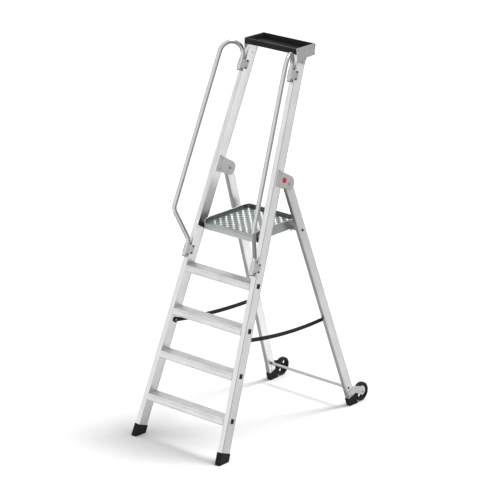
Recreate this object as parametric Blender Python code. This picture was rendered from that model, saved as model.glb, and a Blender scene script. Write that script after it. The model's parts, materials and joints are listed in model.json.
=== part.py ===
"""Folding aluminium platform ladder on two rear wheels: four treads and a rimmed platform
between leaning stiles, a tool tray on top, a hand rail on each side and a hinged rear frame.

Metres, +Z up. X runs across the ladder, the climber faces +Y, and the floor is z = 0.
"""

import bpy
import bmesh
from math import atan2, cos, pi, radians, sin, tan
from mathutils import Vector

GAP = 0.0003  # between faces that touch on the real ladder
RUNNING_GAP = 0.0005  # radial, around a pin that turns

# Front ladder
STEP_RISE = 0.235
STEP_COUNT = 4
STILE_LEAN = radians(20.94)
STILE_TAPER = radians(3.8)
STILE_WIDTH = 0.031
STILE_DEPTH = 0.069
STILE_WALL = 0.0022
STILE_HALF_SPREAD = 0.3321  # outer face at the floor
STILE_TOP_Z = 2.1417
CORNER_RADIUS = 0.003
TREAD_DEPTH = 0.070
TREAD_HEIGHT = 0.036
TREAD_WALL = 0.0022
TREAD_ABOVE_RISE = 0.004
PLUG_SIZE = (0.022, 0.028)
PLUG_DROP = 0.005  # the plug's middle below the tread's top
PLUG_THICKNESS = 0.0025

# Front and rear feet
FOOT_SIDE_WALL = 0.003
FRONT_FOOT_LENGTH = 0.0733
FRONT_FOOT_BACK_WALL = 0.007
FRONT_SOLE = 0.034
REAR_FOOT_LENGTH = 0.058
REAR_FOOT_WALL = 0.0045
REAR_SOLE = 0.022

# Rear frame
HINGE_ALONG = 1.598  # along the stile from the floor
HINGE_BEHIND = 0.132  # behind the stile's front face
LEG_WIDTH = 0.025
LEG_DEPTH = 0.057
LEG_WALL = 0.002
LEG_CENTRE_Y = 1.1836  # where the legs' centre line meets the floor
LEG_SPREAD = 0.0605  # outward run for each metre down
HINGE_PLATE = 0.003
HINGE_NOSE_RADIUS = 0.041
HINGE_CAP_RADIUS = 0.0155
PIVOT_RADIUS = 0.005
STRETCHER_Z = 0.113
STRETCHER_RADIUS = 0.008
STRETCHER_TAB = 0.026
SUPPORT_Z = 1.148
SUPPORT_RADIUS = 0.0125

# Wheels
WHEEL_RADIUS = 0.0555
WHEEL_WIDTH = 0.024
WHEEL_Y = 1.2605
WHEEL_Z = 0.0575
RIM_RADIUS = 0.0435
SPOKE_HOLES = 4
SPOKE_HOLE_RADIUS = 0.0095
SPOKE_HOLE_CIRCLE = 0.0262
AXLE_RADIUS = 0.004
WHEEL_PLATE = 0.003
WHEEL_PLATE_NOSE = 0.0275

# Platform
DECK_Z = 1.179
DECK_HALF_WIDTH = 0.190
DECK_FRONT_Y = 0.4535
DECK_BACK_Y = 0.832
DECK_CORNER = 0.028
DECK_SHEET = 0.003
RIM_TOP_Z = 1.206
SKIRT_Z = 1.150
SADDLE_Z = 1.130
PIVOT_ALONG = 1.258  # the platform's pivot, along the stile from the floor
PAD_RISE = 0.010
PAD_DROP = (0.008, 0.019)  # at its front and at its back
PAD_THICKNESS = 0.030
PLATFORM_PIN = 0.005

# Hand rails, in the plane that splays outward from each stile
RAIL_RADIUS = 0.0125
RAIL_WALL = 0.002
RAIL_SPLAY = radians(24.8)
RAIL_STANDOFF = 0.007
RAIL_REACH = 0.143
RAIL_FOOT = 1.062
RAIL_LOW_BEND = 1.154
RAIL_KNEE = 1.302
RAIL_HOOK = 2.215
RAIL_TIP = 2.145
RAIL_BEND_RADIUS = 0.055
CLAMP_ALONG = (1.105, 2.183)
CLAMP_HEIGHT = 0.052
CLAMP_SHEET = 0.0025
CLAMP_FLANGE = 0.027
CAP_LENGTH = 0.004

# Tool tray
TRAY_FRONT_Y = 0.806
TRAY_BACK_Y = 0.963
TRAY_TOP_Z = 2.177
TRAY_BOTTOM_Z = 2.1425
TRAY_WALL = 0.003
TRAY_PLATE = 0.003

# Restraint straps
STRAP_WIDTH = 0.024
STRAP_THICKNESS = 0.0016
STRAP_CLEAR = 0.002
STRAP_FRONT = (0.2895, 0.6333)
STRAP_BACK_Z = 0.574
STRAP_SAG = {"left": 0.016, "right": 0.023}

SIDES = (("left", -1), ("right", 1))
RAIL_BACK = -RAIL_RADIUS - RAIL_STANDOFF  # its ends' centre line, before the stile's face
LEAN = tan(STILE_LEAN)
TAPER = tan(STILE_TAPER)
# The footprint runs from the front feet's toe to the tyres' back, and the origin is its middle.
TOE_Y = -FOOT_SIDE_WALL / cos(STILE_LEAN)
ORIGIN_Y = (TOE_Y + WHEEL_Y + WHEEL_RADIUS) / 2


def clear_scene():
    for old in list(bpy.data.objects):
        bpy.data.objects.remove(old, do_unlink=True)


def material(name, colour, roughness, metallic):
    made = bpy.data.materials.new(name)
    made.use_nodes = True
    shader = made.node_tree.nodes["Principled BSDF"]
    shader.inputs["Base Color"].default_value = (*colour, 1)
    shader.inputs["Roughness"].default_value = roughness
    shader.inputs["Metallic"].default_value = metallic
    made.diffuse_color = (*colour, 1)
    return made


def finish(name, bm, look, parent=None):
    """Turns a bmesh in world space into a named object, shaded smooth but for its edges."""
    bmesh.ops.recalc_face_normals(bm, faces=bm.faces)
    mesh = bpy.data.meshes.new(name)
    bm.to_mesh(mesh)
    bm.free()
    mesh.shade_smooth()
    mesh.set_sharp_from_angle(angle=radians(35))
    made = bpy.data.objects.new(name, mesh)
    bpy.context.scene.collection.objects.link(made)
    made.data.materials.append(LOOKS[look])
    if parent:
        made.data.transform(parent.matrix_world.inverted())
        made.parent = parent
    return made


def pivot(name, place):
    """An empty on a joint's axis, which carries the pieces that turn with it."""
    made = bpy.data.objects.new(name, None)
    made.location = place
    bpy.context.scene.collection.objects.link(made)
    bpy.context.view_layer.update()
    return made


def boolean(target, other, operation="DIFFERENCE"):
    other.hide_render = True
    other.display_type = "WIRE"
    cut = target.modifiers.new(other.name, "BOOLEAN")
    cut.operation = operation
    cut.object = other


def world(x, y, z):
    """A point given from the front feet's toe line, moved to the part's own origin."""
    return Vector((x, y - ORIGIN_Y, z))


class Frame:
    """A slanted set of axes: out points away from the ladder's middle, back across the
    member's depth and up along its length."""

    def __init__(self, origin, out, back, up):
        self.origin, self.out, self.back, self.up = origin, out, back, up

    def at(self, out, back, up):
        return self.origin + self.out * out + self.back * back + self.up * up


def stile_frame(side):
    up = Vector((-side * TAPER, LEAN, 1)).normalized()
    back = Vector((0, 1, -LEAN)).normalized()
    out = side * back.cross(up)
    return Frame(world(side * (STILE_HALF_SPREAD - STILE_WIDTH / 2), 0, 0), out, back, up)


def leg_frame(side):
    """Its origin is the hinge pin's middle, and up runs along the leg."""
    hinge = STILES[side].at(0, HINGE_BEHIND, HINGE_ALONG)
    slope = (LEG_CENTRE_Y - ORIGIN_Y - hinge.y) / hinge.z
    up = Vector((-side * LEG_SPREAD, -slope, 1)).normalized()
    back = Vector((0, 1, slope)).normalized()
    return Frame(hinge, side * back.cross(up), back, up)


def leg_at_height(leg, z):
    """How far up the leg's centre line the height z is."""
    return (z - leg.origin.z) / leg.up.z


def arc(centre, radius, start, end, count):
    """Points of an arc, its angles in degrees."""
    points = []
    for i in range(count + 1):
        turn = radians(start + (end - start) * i / count)
        points.append((centre[0] + radius * cos(turn), centre[1] + radius * sin(turn)))
    return points


def rounded(low, high, radius, count=3):
    """A rectangle with round corners, anticlockwise."""
    (x0, y0), (x1, y1) = low, high
    points = arc((x1 - radius, y1 - radius), radius, 0, 90, count)
    points += arc((x0 + radius, y1 - radius), radius, 90, 180, count)
    points += arc((x0 + radius, y0 + radius), radius, 180, 270, count)
    points += arc((x1 - radius, y0 + radius), radius, 270, 360, count)
    return points


def ring(bm, points):
    return [bm.verts.new(point) for point in points]


def bridge(bm, first, second):
    count = len(first)
    for i in range(count):
        j = (i + 1) % count
        bm.faces.new((first[i], first[j], second[j], second[i]))


def on_plane(start, direction, point, normal):
    return start + direction * ((point - start).dot(normal) / direction.dot(normal))


def prism(outline, place, along, ends, hollow=None):
    """Extrudes an outline between two planes, each a point and a normal. place turns an
    outline point into a world point, and hollow is the outline of a bore right through."""
    bm = bmesh.new()
    loops = []
    for points in (outline, hollow):
        if points:
            for point, normal in ends:
                cut = [on_plane(place(*p), along, point, normal) for p in points]
                loops.append(ring(bm, cut))
    bridge(bm, loops[0], loops[1])
    if hollow:
        bridge(bm, loops[2], loops[3])
        bridge(bm, loops[0], loops[2])
        bridge(bm, loops[1], loops[3])
    else:
        bm.faces.new(loops[0])
        bm.faces.new(loops[1])
    return bm


def cup(outer, inner, place, along, sole, rim, floor):
    """A boot: outer walls from the sole plane to the rim plane, and a pocket to the floor."""
    bm = bmesh.new()
    loops = []
    for points, (point, normal) in ((outer, sole), (outer, rim), (inner, rim), (inner, floor)):
        loops.append(ring(bm, [on_plane(place(*p), along, point, normal) for p in points]))
    for first, second in zip(loops, loops[1:]):
        bridge(bm, first, second)
    bm.faces.new(loops[0])
    bm.faces.new(loops[3])
    return bm


def plate(outline, frame, near, far):
    """A flat plate in a member's side plane: the outline is in (back, up), and near and far
    are its two faces' distances outward."""
    def place(back, up):
        return frame.at(0, back, up)

    ends = [(frame.at(out, 0, 0), frame.out) for out in (near, far)]
    return prism(outline, place, frame.out, ends)


def turned(profile, start, axis, count=20):
    """Turns (distance along the axis, radius) points about an axis from a start point."""
    axis = axis.normalized()
    side = axis.orthogonal().normalized()
    other = axis.cross(side)
    bm = bmesh.new()
    rings = []
    for along, radius in profile:
        middle = start + axis * along
        if radius == 0:
            rings.append(ring(bm, [middle]))
            continue
        points = []
        for i in range(count):
            turn = 2 * pi * i / count
            points.append(middle + (side * cos(turn) + other * sin(turn)) * radius)
        rings.append(ring(bm, points))
    for first, second in zip(rings, rings[1:]):
        if len(first) == 1 or len(second) == 1:
            tip, base = (first, second) if len(first) == 1 else (second, first)
            for i in range(count):
                bm.faces.new((tip[0], base[i], base[(i + 1) % count]))
        else:
            bridge(bm, first, second)
    if len(rings[0]) > 1:
        bridge(bm, rings[-1], rings[0])
    return bm


def rod(start, end, radius, count=20):
    axis = end - start
    long = axis.length
    return turned([(0, 0), (0, radius), (long, radius), (long, 0)], start, axis, count)


def bend(points, radius, count):
    """Rounds each inner corner of a flat route of (x, y) points."""
    route = [Vector(points[0])]
    for before, corner, after in zip(points, points[1:], points[2:]):
        corner = Vector(corner)
        back = (Vector(before) - corner).normalized()
        on = (Vector(after) - corner).normalized()
        half = back.angle(on) / 2
        middle = corner + (back + on).normalized() * (radius / sin(half))
        first = corner + back * (radius / tan(half)) - middle
        last = corner + on * (radius / tan(half)) - middle
        start = atan2(first.y, first.x)
        sweep = (atan2(last.y, last.x) - start + pi) % (2 * pi) - pi
        for i in range(count + 1):
            turn = start + sweep * i / count
            route.append(middle + Vector((cos(turn), sin(turn))) * radius)
    route.append(Vector(points[-1]))
    return route


def pipe(route, normal, radius, wall, count=12):
    """A tube along a flat route whose plane has this normal, open at both ends."""
    bm = bmesh.new()
    loops = {radius: [], radius - wall: []}
    for i, point in enumerate(route):
        before = (point - route[max(i - 1, 0)]).normalized()
        after = (route[min(i + 1, len(route) - 1)] - point).normalized()
        across = (before + after).normalized().cross(normal)
        for size, rings in loops.items():
            points = []
            for j in range(count):
                turn = 2 * pi * j / count
                points.append(point + (normal * cos(turn) + across * sin(turn)) * size)
            rings.append(ring(bm, points))
    for rings in loops.values():
        for first, second in zip(rings, rings[1:]):
            bridge(bm, first, second)
    outer, inner = loops.values()
    bridge(bm, outer[0], inner[0])
    bridge(bm, outer[-1], inner[-1])
    return bm


def make_stiles():
    half = STILE_WIDTH / 2
    outer = rounded((-half, 0), (half, STILE_DEPTH), CORNER_RADIUS)
    low = (STILE_WALL - half, STILE_WALL)
    high = (half - STILE_WALL, STILE_DEPTH - STILE_WALL)
    inner = rounded(low, high, CORNER_RADIUS - STILE_WALL)
    for name, side in SIDES:
        frame = STILES[side]
        ends = [
            (frame.at(0, 0, FRONT_SOLE + GAP), frame.up),
            (world(0, 0, STILE_TOP_Z), Vector((0, 0, 1))),
        ]
        bm = prism(outer, lambda out, back: frame.at(out, back, 0), frame.up, ends, inner)
        finish("stile_" + name, bm, "aluminium")


def tread_planes():
    """The two stiles' inner faces, each a little clear of a tread's end."""
    return [
        (STILES[side].at(-STILE_WIDTH / 2 - GAP, 0, 0), STILES[side].out) for _, side in SIDES
    ]


def make_treads():
    """Level hollow profiles whose front and back slant with the stiles."""
    def place(y, z):
        return world(0, y + LEAN * z, z)

    for step in range(1, STEP_COUNT + 1):
        top = step * STEP_RISE + TREAD_ABOVE_RISE
        low, high = (0, top - TREAD_HEIGHT), (TREAD_DEPTH, top)
        outer = rounded(low, high, CORNER_RADIUS)
        low = (low[0] + TREAD_WALL, low[1] + TREAD_WALL)
        high = (high[0] - TREAD_WALL, high[1] - TREAD_WALL)
        inner = rounded(low, high, CORNER_RADIUS - TREAD_WALL)
        bm = prism(outer, place, Vector((1, 0, 0)), tread_planes(), inner)
        finish(f"tread_{step}", bm, "tread")
        make_plugs(step)


def make_plugs(step):
    """The black plugs that close the tread's fixing holes on the stiles' outer faces."""
    along = (step * STEP_RISE + TREAD_ABOVE_RISE - PLUG_DROP) / STILES[1].up.z
    middle = STILE_DEPTH * 0.56
    wide, tall = PLUG_SIZE
    low = (middle - wide / 2, along - tall / 2)
    high = (middle + wide / 2, along + tall / 2)
    for name, side in SIDES:
        face = STILE_WIDTH / 2 + GAP
        bm = plate(rounded(low, high, 0.004, 2), STILES[side], face, face + PLUG_THICKNESS)
        finish(f"tread_plug_{name}_{step}", bm, "black_plastic")


def make_front_feet():
    half = STILE_WIDTH / 2
    back_wall = FRONT_FOOT_BACK_WALL
    outer = rounded(
        (-half - FOOT_SIDE_WALL, -FOOT_SIDE_WALL),
        (half + FOOT_SIDE_WALL, STILE_DEPTH + back_wall),
        0.005,
    )
    inner = rounded((-half - GAP, -GAP), (half + GAP, STILE_DEPTH + GAP), CORNER_RADIUS)
    for name, side in SIDES:
        frame = STILES[side]
        sole = (world(0, 0, 0), Vector((0, 0, 1)))
        rim = (frame.at(0, 0, FRONT_FOOT_LENGTH), frame.up)
        floor = (frame.at(0, 0, FRONT_SOLE), frame.up)
        place = lambda out, back: frame.at(out, back, 0)
        bm = cup(outer, inner, place, frame.up, sole, rim, floor)
        finish("front_foot_" + name, bm, "rubber")


def hinge_outline():
    """The hinge plate in (back, up): a straight front edge and a round nose at the pin."""
    nose = (HINGE_BEHIND, HINGE_ALONG)
    outline = [(0.020, HINGE_ALONG - 0.033), (0.116, HINGE_ALONG - 0.035)]
    outline += arc(nose, HINGE_NOSE_RADIUS, -70, 74, 8)
    outline += [(0.075, HINGE_ALONG + 0.051), (0.020, HINGE_ALONG + 0.060)]
    return outline


def make_hinges():
    """Two plates on each stile, and the pin that joins them through the rear leg."""
    for name, side in SIDES:
        frame = STILES[side]
        face = STILE_WIDTH / 2 + GAP
        hinge = frame.at(0, HINGE_BEHIND, HINGE_ALONG)
        across = Vector((side, 0, 0))
        hole = rod(hinge - across * 0.04, hinge + across * 0.04, PIVOT_RADIUS + GAP)
        hole = finish(f"hinge_hole_{name}", hole, "steel")
        for place, near in (("outer", face), ("inner", -face - HINGE_PLATE)):
            bm = plate(hinge_outline(), frame, near, near + HINGE_PLATE)
            boolean(finish(f"hinge_plate_{name}_{place}", bm, "plate"), hole)
        reach = face + HINGE_PLATE + 0.001
        profile = [
            (-reach - 0.005, 0),
            (-reach - 0.005, 0.0075),
            (-reach, 0.0080),
            (-reach, PIVOT_RADIUS),
            (reach, PIVOT_RADIUS),
            (reach, 0.0085),
            (reach + 0.002, 0.0085),
            (reach + 0.0045, 0.0055),
            (reach + 0.005, 0),
        ]
        finish("hinge_pin_" + name, turned(profile, hinge, across, 16), "steel")


def make_hinge_cap():
    """The plain red cap on the right outer hinge plate."""
    frame = STILES[1]
    face = STILE_WIDTH / 2 + GAP + HINGE_PLATE + GAP
    start = frame.at(face, 0.084, HINGE_ALONG + 0.010)
    radius = HINGE_CAP_RADIUS
    profile = [(0, 0), (0, radius), (0.0015, radius), (0.0028, radius - 0.003), (0.003, 0)]
    finish("hinge_cap", turned(profile, start, frame.out, 28), "red_plastic")


def rail_route(frame, side):
    """The hand rail's centre line from its lower end up over the hook to its upper tip."""
    forward = -frame.back * cos(RAIL_SPLAY) + frame.out * sin(RAIL_SPLAY)
    corners = [(0, RAIL_FOOT), (0, RAIL_LOW_BEND), (RAIL_REACH, RAIL_KNEE)]
    corners.append((RAIL_REACH, RAIL_HOOK))
    flat = bend(corners, RAIL_BEND_RADIUS, 4)
    half = RAIL_REACH / 2
    hook = arc((half, RAIL_HOOK), half, 0, 180, 12)
    flat += [Vector(point) for point in hook[1:]]
    flat.append(Vector((0, RAIL_TIP)))
    route = [frame.at(0, RAIL_BACK, point.y) + forward * point.x for point in flat]
    return route, forward.cross(frame.up).normalized()


def clamp_outline():
    """One half of the clamp's section in (out, back), from the middle of the rail's front."""
    centre = RAIL_BACK
    inside = arc((0, centre), RAIL_RADIUS + GAP, -90, 0, 5)
    face = STILE_WIDTH / 2 + GAP
    inside += [(face, -0.002), (face, CLAMP_FLANGE)]
    outside = arc((0, centre), RAIL_RADIUS + GAP + CLAMP_SHEET, -90, 0, 5)
    outside += [(face + CLAMP_SHEET, -0.002), (face + CLAMP_SHEET, CLAMP_FLANGE)]
    return inside, outside


def make_rails():
    inside, outside = clamp_outline()
    mirrored_inside = [(-x, y) for x, y in inside[1:]]
    mirrored_outside = [(-x, y) for x, y in outside[1:]]
    section = inside[::-1] + mirrored_inside + mirrored_outside[::-1] + outside
    for name, side in SIDES:
        frame = STILES[side]
        route, normal = rail_route(frame, side)
        bm = pipe(route, normal, RAIL_RADIUS, RAIL_WALL)
        finish("handrail_" + name, bm, "polished_tube")
        for end, place, on in (("lower", route[0], route[1]), ("upper", route[-1], route[-2])):
            axis = (place - on).normalized()
            bore = RAIL_RADIUS - RAIL_WALL - 0.0008
            profile = [(-0.012, 0), (-0.012, bore), (GAP, bore), (GAP, RAIL_RADIUS)]
            profile += [(CAP_LENGTH - 0.001, RAIL_RADIUS), (CAP_LENGTH, RAIL_RADIUS - 0.001)]
            profile.append((CAP_LENGTH, 0))
            finish(f"rail_cap_{name}_{end}", turned(profile, place, axis, 12), "dark_plastic")
        for end, along in zip(("lower", "upper"), CLAMP_ALONG):
            ends = [
                (frame.at(0, 0, along - CLAMP_HEIGHT / 2), frame.up),
                (frame.at(0, 0, along + CLAMP_HEIGHT / 2), frame.up),
            ]
            bm = prism(section, lambda out, back: frame.at(out, back, 0), frame.up, ends)
            finish(f"rail_clamp_{name}_{end}", bm, "plate")


def make_tray():
    """A box between the two end plates, open at the top, with upright walls inside."""
    across = Vector((1, 0, 0))

    def block(inset, low, high, ends):
        front, back = TRAY_FRONT_Y + inset, TRAY_BACK_Y - inset
        section = [(front, high), (front, low), (back, low), (back, high)]
        return prism(section, lambda y, z: world(0, y, z), across, ends)

    wall = TRAY_WALL
    half = STILE_WIDTH / 2
    outer_ends = []
    inner_ends = []
    for _, side in SIDES:
        stile = STILES[side]
        outer_ends.append((stile.at(half, 0, 0), stile.out))
        corner = on_plane(world(0, TRAY_BACK_Y, TRAY_TOP_Z), across, stile.at(half - wall, 0, 0), stile.out)
        inner_ends.append((corner, Vector((stile.out.x, stile.out.y, 0))))
    tray = finish("tool_tray", block(0, TRAY_BOTTOM_Z, TRAY_TOP_Z, outer_ends), "black_plastic")
    pocket = block(wall, TRAY_BOTTOM_Z + wall, TRAY_TOP_Z + wall, inner_ends)
    boolean(tray, finish("tray_pocket", pocket, "steel"))
    for name, side in SIDES:
        make_tray_end(name, side)


def make_tray_end(name, side):
    """The end plate: it closes the tray's end and runs down the stile's outer face."""
    frame = STILES[side]
    face = STILE_WIDTH / 2 + GAP
    corners = [
        (TRAY_FRONT_Y - 0.003, TRAY_TOP_Z + 0.001),
        (TRAY_FRONT_Y - 0.003, TRAY_BOTTOM_Z - 0.003),
        (LEAN * 2.100 + 0.006, 2.100),
        (LEAN * 2.076 + 0.070, 2.076),
        (0.882, 2.113),
        (0.954, 2.1145),
        (TRAY_BACK_Y + 0.003, TRAY_TOP_Z - 0.003),
        (TRAY_BACK_Y, TRAY_TOP_Z + 0.001),
    ]
    ends = [(frame.at(out, 0, 0), frame.out) for out in (face, face + TRAY_PLATE)]
    middle = STILE_HALF_SPREAD - TAPER * TRAY_TOP_Z
    across = Vector((1, 0, 0))
    bm = prism(corners, lambda y, z: world(side * middle, y, z), across, ends)
    finish("tray_end_" + name, bm, "plate")


def make_pads():
    """The black blocks on the stiles' inner faces that the platform's front pins turn in."""
    face = STILE_WIDTH / 2 + GAP
    for name, side in SIDES:
        frame = STILES[side]
        near, far = 0.001, STILE_DEPTH - 0.002
        outline = [
            (near, PIVOT_ALONG - PAD_DROP[0]),
            (far * 0.7, PIVOT_ALONG - PAD_DROP[1]),
            (far, PIVOT_ALONG - PAD_DROP[1]),
            (far, PIVOT_ALONG + PAD_RISE),
            (near, PIVOT_ALONG + PAD_RISE),
        ]
        bm = plate(outline, frame, -face - PAD_THICKNESS, -face)
        pad = finish("platform_pad_" + name, bm, "black_plastic")
        middle = platform_pin(side)
        reach = Vector((0.05, 0, 0))
        hole = rod(middle - reach, middle + reach, PLATFORM_PIN + RUNNING_GAP, 16)
        boolean(pad, finish("pad_hole_" + name, hole, "steel"))


def platform_pin(side):
    """Where the platform's pin meets the stile's inner face."""
    return STILES[side].at(-STILE_WIDTH / 2, STILE_DEPTH / 2, PIVOT_ALONG)


def make_legs():
    half = LEG_WIDTH / 2
    deep = LEG_DEPTH / 2
    outer = rounded((-half, -deep), (half, deep), CORNER_RADIUS)
    low = (LEG_WALL - half, LEG_WALL - deep)
    high = (half - LEG_WALL, deep - LEG_WALL)
    inner = rounded(low, high, CORNER_RADIUS - LEG_WALL)
    for name, side in SIDES:
        frame = LEGS[side]
        bottom = leg_at_height(frame, 0) + REAR_SOLE + GAP
        ends = [(frame.at(0, 0, bottom), frame.up), (frame.at(0, 0, deep * 0.8), frame.up)]
        bm = prism(outer, lambda out, back: frame.at(out, back, 0), frame.up, ends, inner)
        leg = finish("rear_leg_" + name, bm, "aluminium", FOLD)
        across = Vector((0.03, 0, 0))
        support = frame.at(0, 0, leg_at_height(frame, SUPPORT_Z))
        for kind, middle, radius in (
            ("pin", frame.origin, PIVOT_RADIUS + RUNNING_GAP),
            ("bolt", support, 0.0045),
        ):
            hole = rod(middle - across, middle + across, radius, 16)
            boolean(leg, finish(f"leg_{kind}_hole_{name}", hole, "steel"))


def make_support():
    """The cross tube that carries the platform's back, and the bolts that hold it."""
    ends = []
    for name, side in SIDES:
        frame = LEGS[side]
        across = Vector((side, 0, 0))
        middle = frame.at(0, 0, leg_at_height(frame, SUPPORT_Z))
        inner, head = (
            on_plane(middle, across, frame.at(out, 0, 0), frame.out)
            for out in (-LEG_WIDTH / 2, LEG_WIDTH / 2)
        )
        ends.append(inner - across * 0.0014)
        profile = [
            (-0.0055, 0),
            (-0.0055, 0.0045),
            (-0.0042, 0.0070),
            (-0.0008, 0.0070),
            (-0.0008, 0.0040),
            (LEG_WIDTH + 0.010, 0.0040),
            (LEG_WIDTH + 0.010, 0),
        ]
        bolt = turned(profile, head, -across, 12)
        finish("support_bolt_" + name, bolt, "dark_steel", FOLD)
    normal = Vector((0, 0, 1))
    bm = pipe(ends, normal, SUPPORT_RADIUS, 0.002, 16)
    finish("platform_support_tube", bm, "polished_tube", FOLD)


def make_stretcher():
    """The low cross tube, its ends pressed flat against the legs' inner faces."""
    half = []
    for _, side in SIDES:
        frame = LEGS[side]
        half.append(frame.at(-LEG_WIDTH / 2 - 0.0008, 0, leg_at_height(frame, STRETCHER_Z)))
    long = (half[1] - half[0]).length / 2
    middle = (half[0] + half[1]) / 2
    bm = bmesh.new()
    stations = [
        (-1, 0.0030, 0.0110),
        (-1 + STRETCHER_TAB / long, 0.0030, 0.0110),
        (-1 + 2 * STRETCHER_TAB / long, STRETCHER_RADIUS, STRETCHER_RADIUS),
    ]
    stations += [(-at, thick, tall) for at, thick, tall in reversed(stations)]
    rings = []
    for at, thick, tall in stations:
        points = []
        for i in range(12):
            turn = 2 * pi * i / 12
            across = Vector((at * long, thick * cos(turn), tall * sin(turn)))
            points.append(middle + across)
        rings.append(ring(bm, points))
    for first, second in zip(rings, rings[1:]):
        bridge(bm, first, second)
    bm.faces.new(rings[0])
    bm.faces.new(rings[-1])
    finish("stretcher_tube", bm, "aluminium", FOLD)


def make_rear_feet():
    half = LEG_WIDTH / 2
    deep = LEG_DEPTH / 2
    wall = REAR_FOOT_WALL
    outer = rounded((-half - FOOT_SIDE_WALL, -deep - wall), (half + FOOT_SIDE_WALL, deep + wall), 0.004)
    inner = rounded((-half - GAP, -deep - GAP), (half + GAP, deep + GAP), CORNER_RADIUS)
    for name, side in SIDES:
        frame = LEGS[side]
        ground = leg_at_height(frame, 0)
        sole = (world(0, 0, 0), Vector((0, 0, 1)))
        rim = (frame.at(0, 0, ground + REAR_FOOT_LENGTH), frame.up)
        floor = (frame.at(0, 0, ground + REAR_SOLE), frame.up)
        bm = cup(outer, inner, lambda out, back: frame.at(out, back, 0), frame.up, sole, rim, floor)
        finish("rear_foot_" + name, bm, "rubber", FOLD)


def wheel_centre(side):
    """The wheel's middle, in line with its leg and square to the leg's side."""
    frame = LEGS[side]
    outer = frame.at(LEG_WIDTH / 2, 0, leg_at_height(frame, WHEEL_Z))
    lean = frame.out
    start = world(outer.x, WHEEL_Y, WHEEL_Z)
    face = start + lean * ((outer - start).dot(lean))
    return face - lean * (WHEEL_WIDTH / 2 + 0.0015)


def make_wheel_plate(name, side):
    """The flat bracket on the leg's outer face, which reaches back to the wheel's axle."""
    frame = LEGS[side]
    face = LEG_WIDTH / 2 + GAP
    centre = wheel_centre(side) - frame.origin
    back, up = centre.dot(frame.back), centre.dot(frame.up)
    ground = leg_at_height(frame, 0)
    deep = LEG_DEPTH / 2
    low = ground + REAR_FOOT_LENGTH + 0.0025
    outline = [(0.003 - deep, low), (deep + REAR_FOOT_WALL + 0.0015, low)]
    outline += arc((back - 0.003, up + 0.010), WHEEL_PLATE_NOSE, -110, 80, 8)
    outline += [(deep, ground + 0.111), (0.003 - deep, ground + 0.104)]
    bm = plate(outline, frame, face, face + WHEEL_PLATE)
    made = finish("wheel_plate_" + name, bm, "plate", FOLD)
    middle = wheel_centre(side)
    reach = frame.out * 0.03
    hole = rod(middle, middle + reach, AXLE_RADIUS + GAP, 12)
    boolean(made, finish("axle_hole_" + name, hole, "steel"))


def make_wheel(name, side):
    frame = LEGS[side]
    middle = wheel_centre(side)
    half = WHEEL_WIDTH / 2
    axle = pivot("wheel_axle_" + name, middle)
    rim = RIM_RADIUS
    bore = AXLE_RADIUS + RUNNING_GAP
    hub = [
        (-half, bore), (-half, 0.012), (-half + 0.005, 0.013), (-half + 0.005, rim - 0.006),
        (-half + 0.002, rim - 0.005), (-half + 0.002, rim), (half - 0.002, rim),
        (half - 0.002, rim - 0.005), (half - 0.005, rim - 0.006), (half - 0.005, 0.013),
        (half, 0.012), (half, bore),
    ]
    disc = finish("wheel_hub_" + name, turned(hub, middle, frame.out, 32), "black_plastic", axle)
    for i in range(SPOKE_HOLES):
        turn = radians(55) + 2 * pi * i / SPOKE_HOLES
        around = Vector((0, cos(turn), sin(turn)))
        around = (around - frame.out * around.dot(frame.out)).normalized()
        place = middle + around * SPOKE_HOLE_CIRCLE
        hole = rod(place - frame.out * 0.02, place + frame.out * 0.02, SPOKE_HOLE_RADIUS, 12)
        boolean(disc, finish(f"spoke_hole_{name}_{i}", hole, "steel"))
    inner = rim + GAP
    outer = WHEEL_RADIUS
    tyre = [
        (-half, inner), (-half, outer - 0.006), (-half + 0.002, outer - 0.0022),
        (-half + 0.006, outer), (half - 0.006, outer), (half - 0.002, outer - 0.0022),
        (half, outer - 0.006), (half, inner),
    ]
    finish("wheel_tyre_" + name, turned(tyre, middle, frame.out, 36), "tyre", axle)
    face = half + 0.0015 + WHEEL_PLATE + 2 * GAP
    pin = [
        (-half - 0.006, 0), (-half - 0.006, 0.006), (-half - 0.001, 0.0065),
        (-half - 0.001, AXLE_RADIUS), (face, AXLE_RADIUS), (face, 0.0065),
        (face + 0.003, 0.0060), (face + 0.004, 0),
    ]
    finish("wheel_axle_pin_" + name, turned(pin, middle, frame.out, 12), "steel", FOLD)


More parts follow.
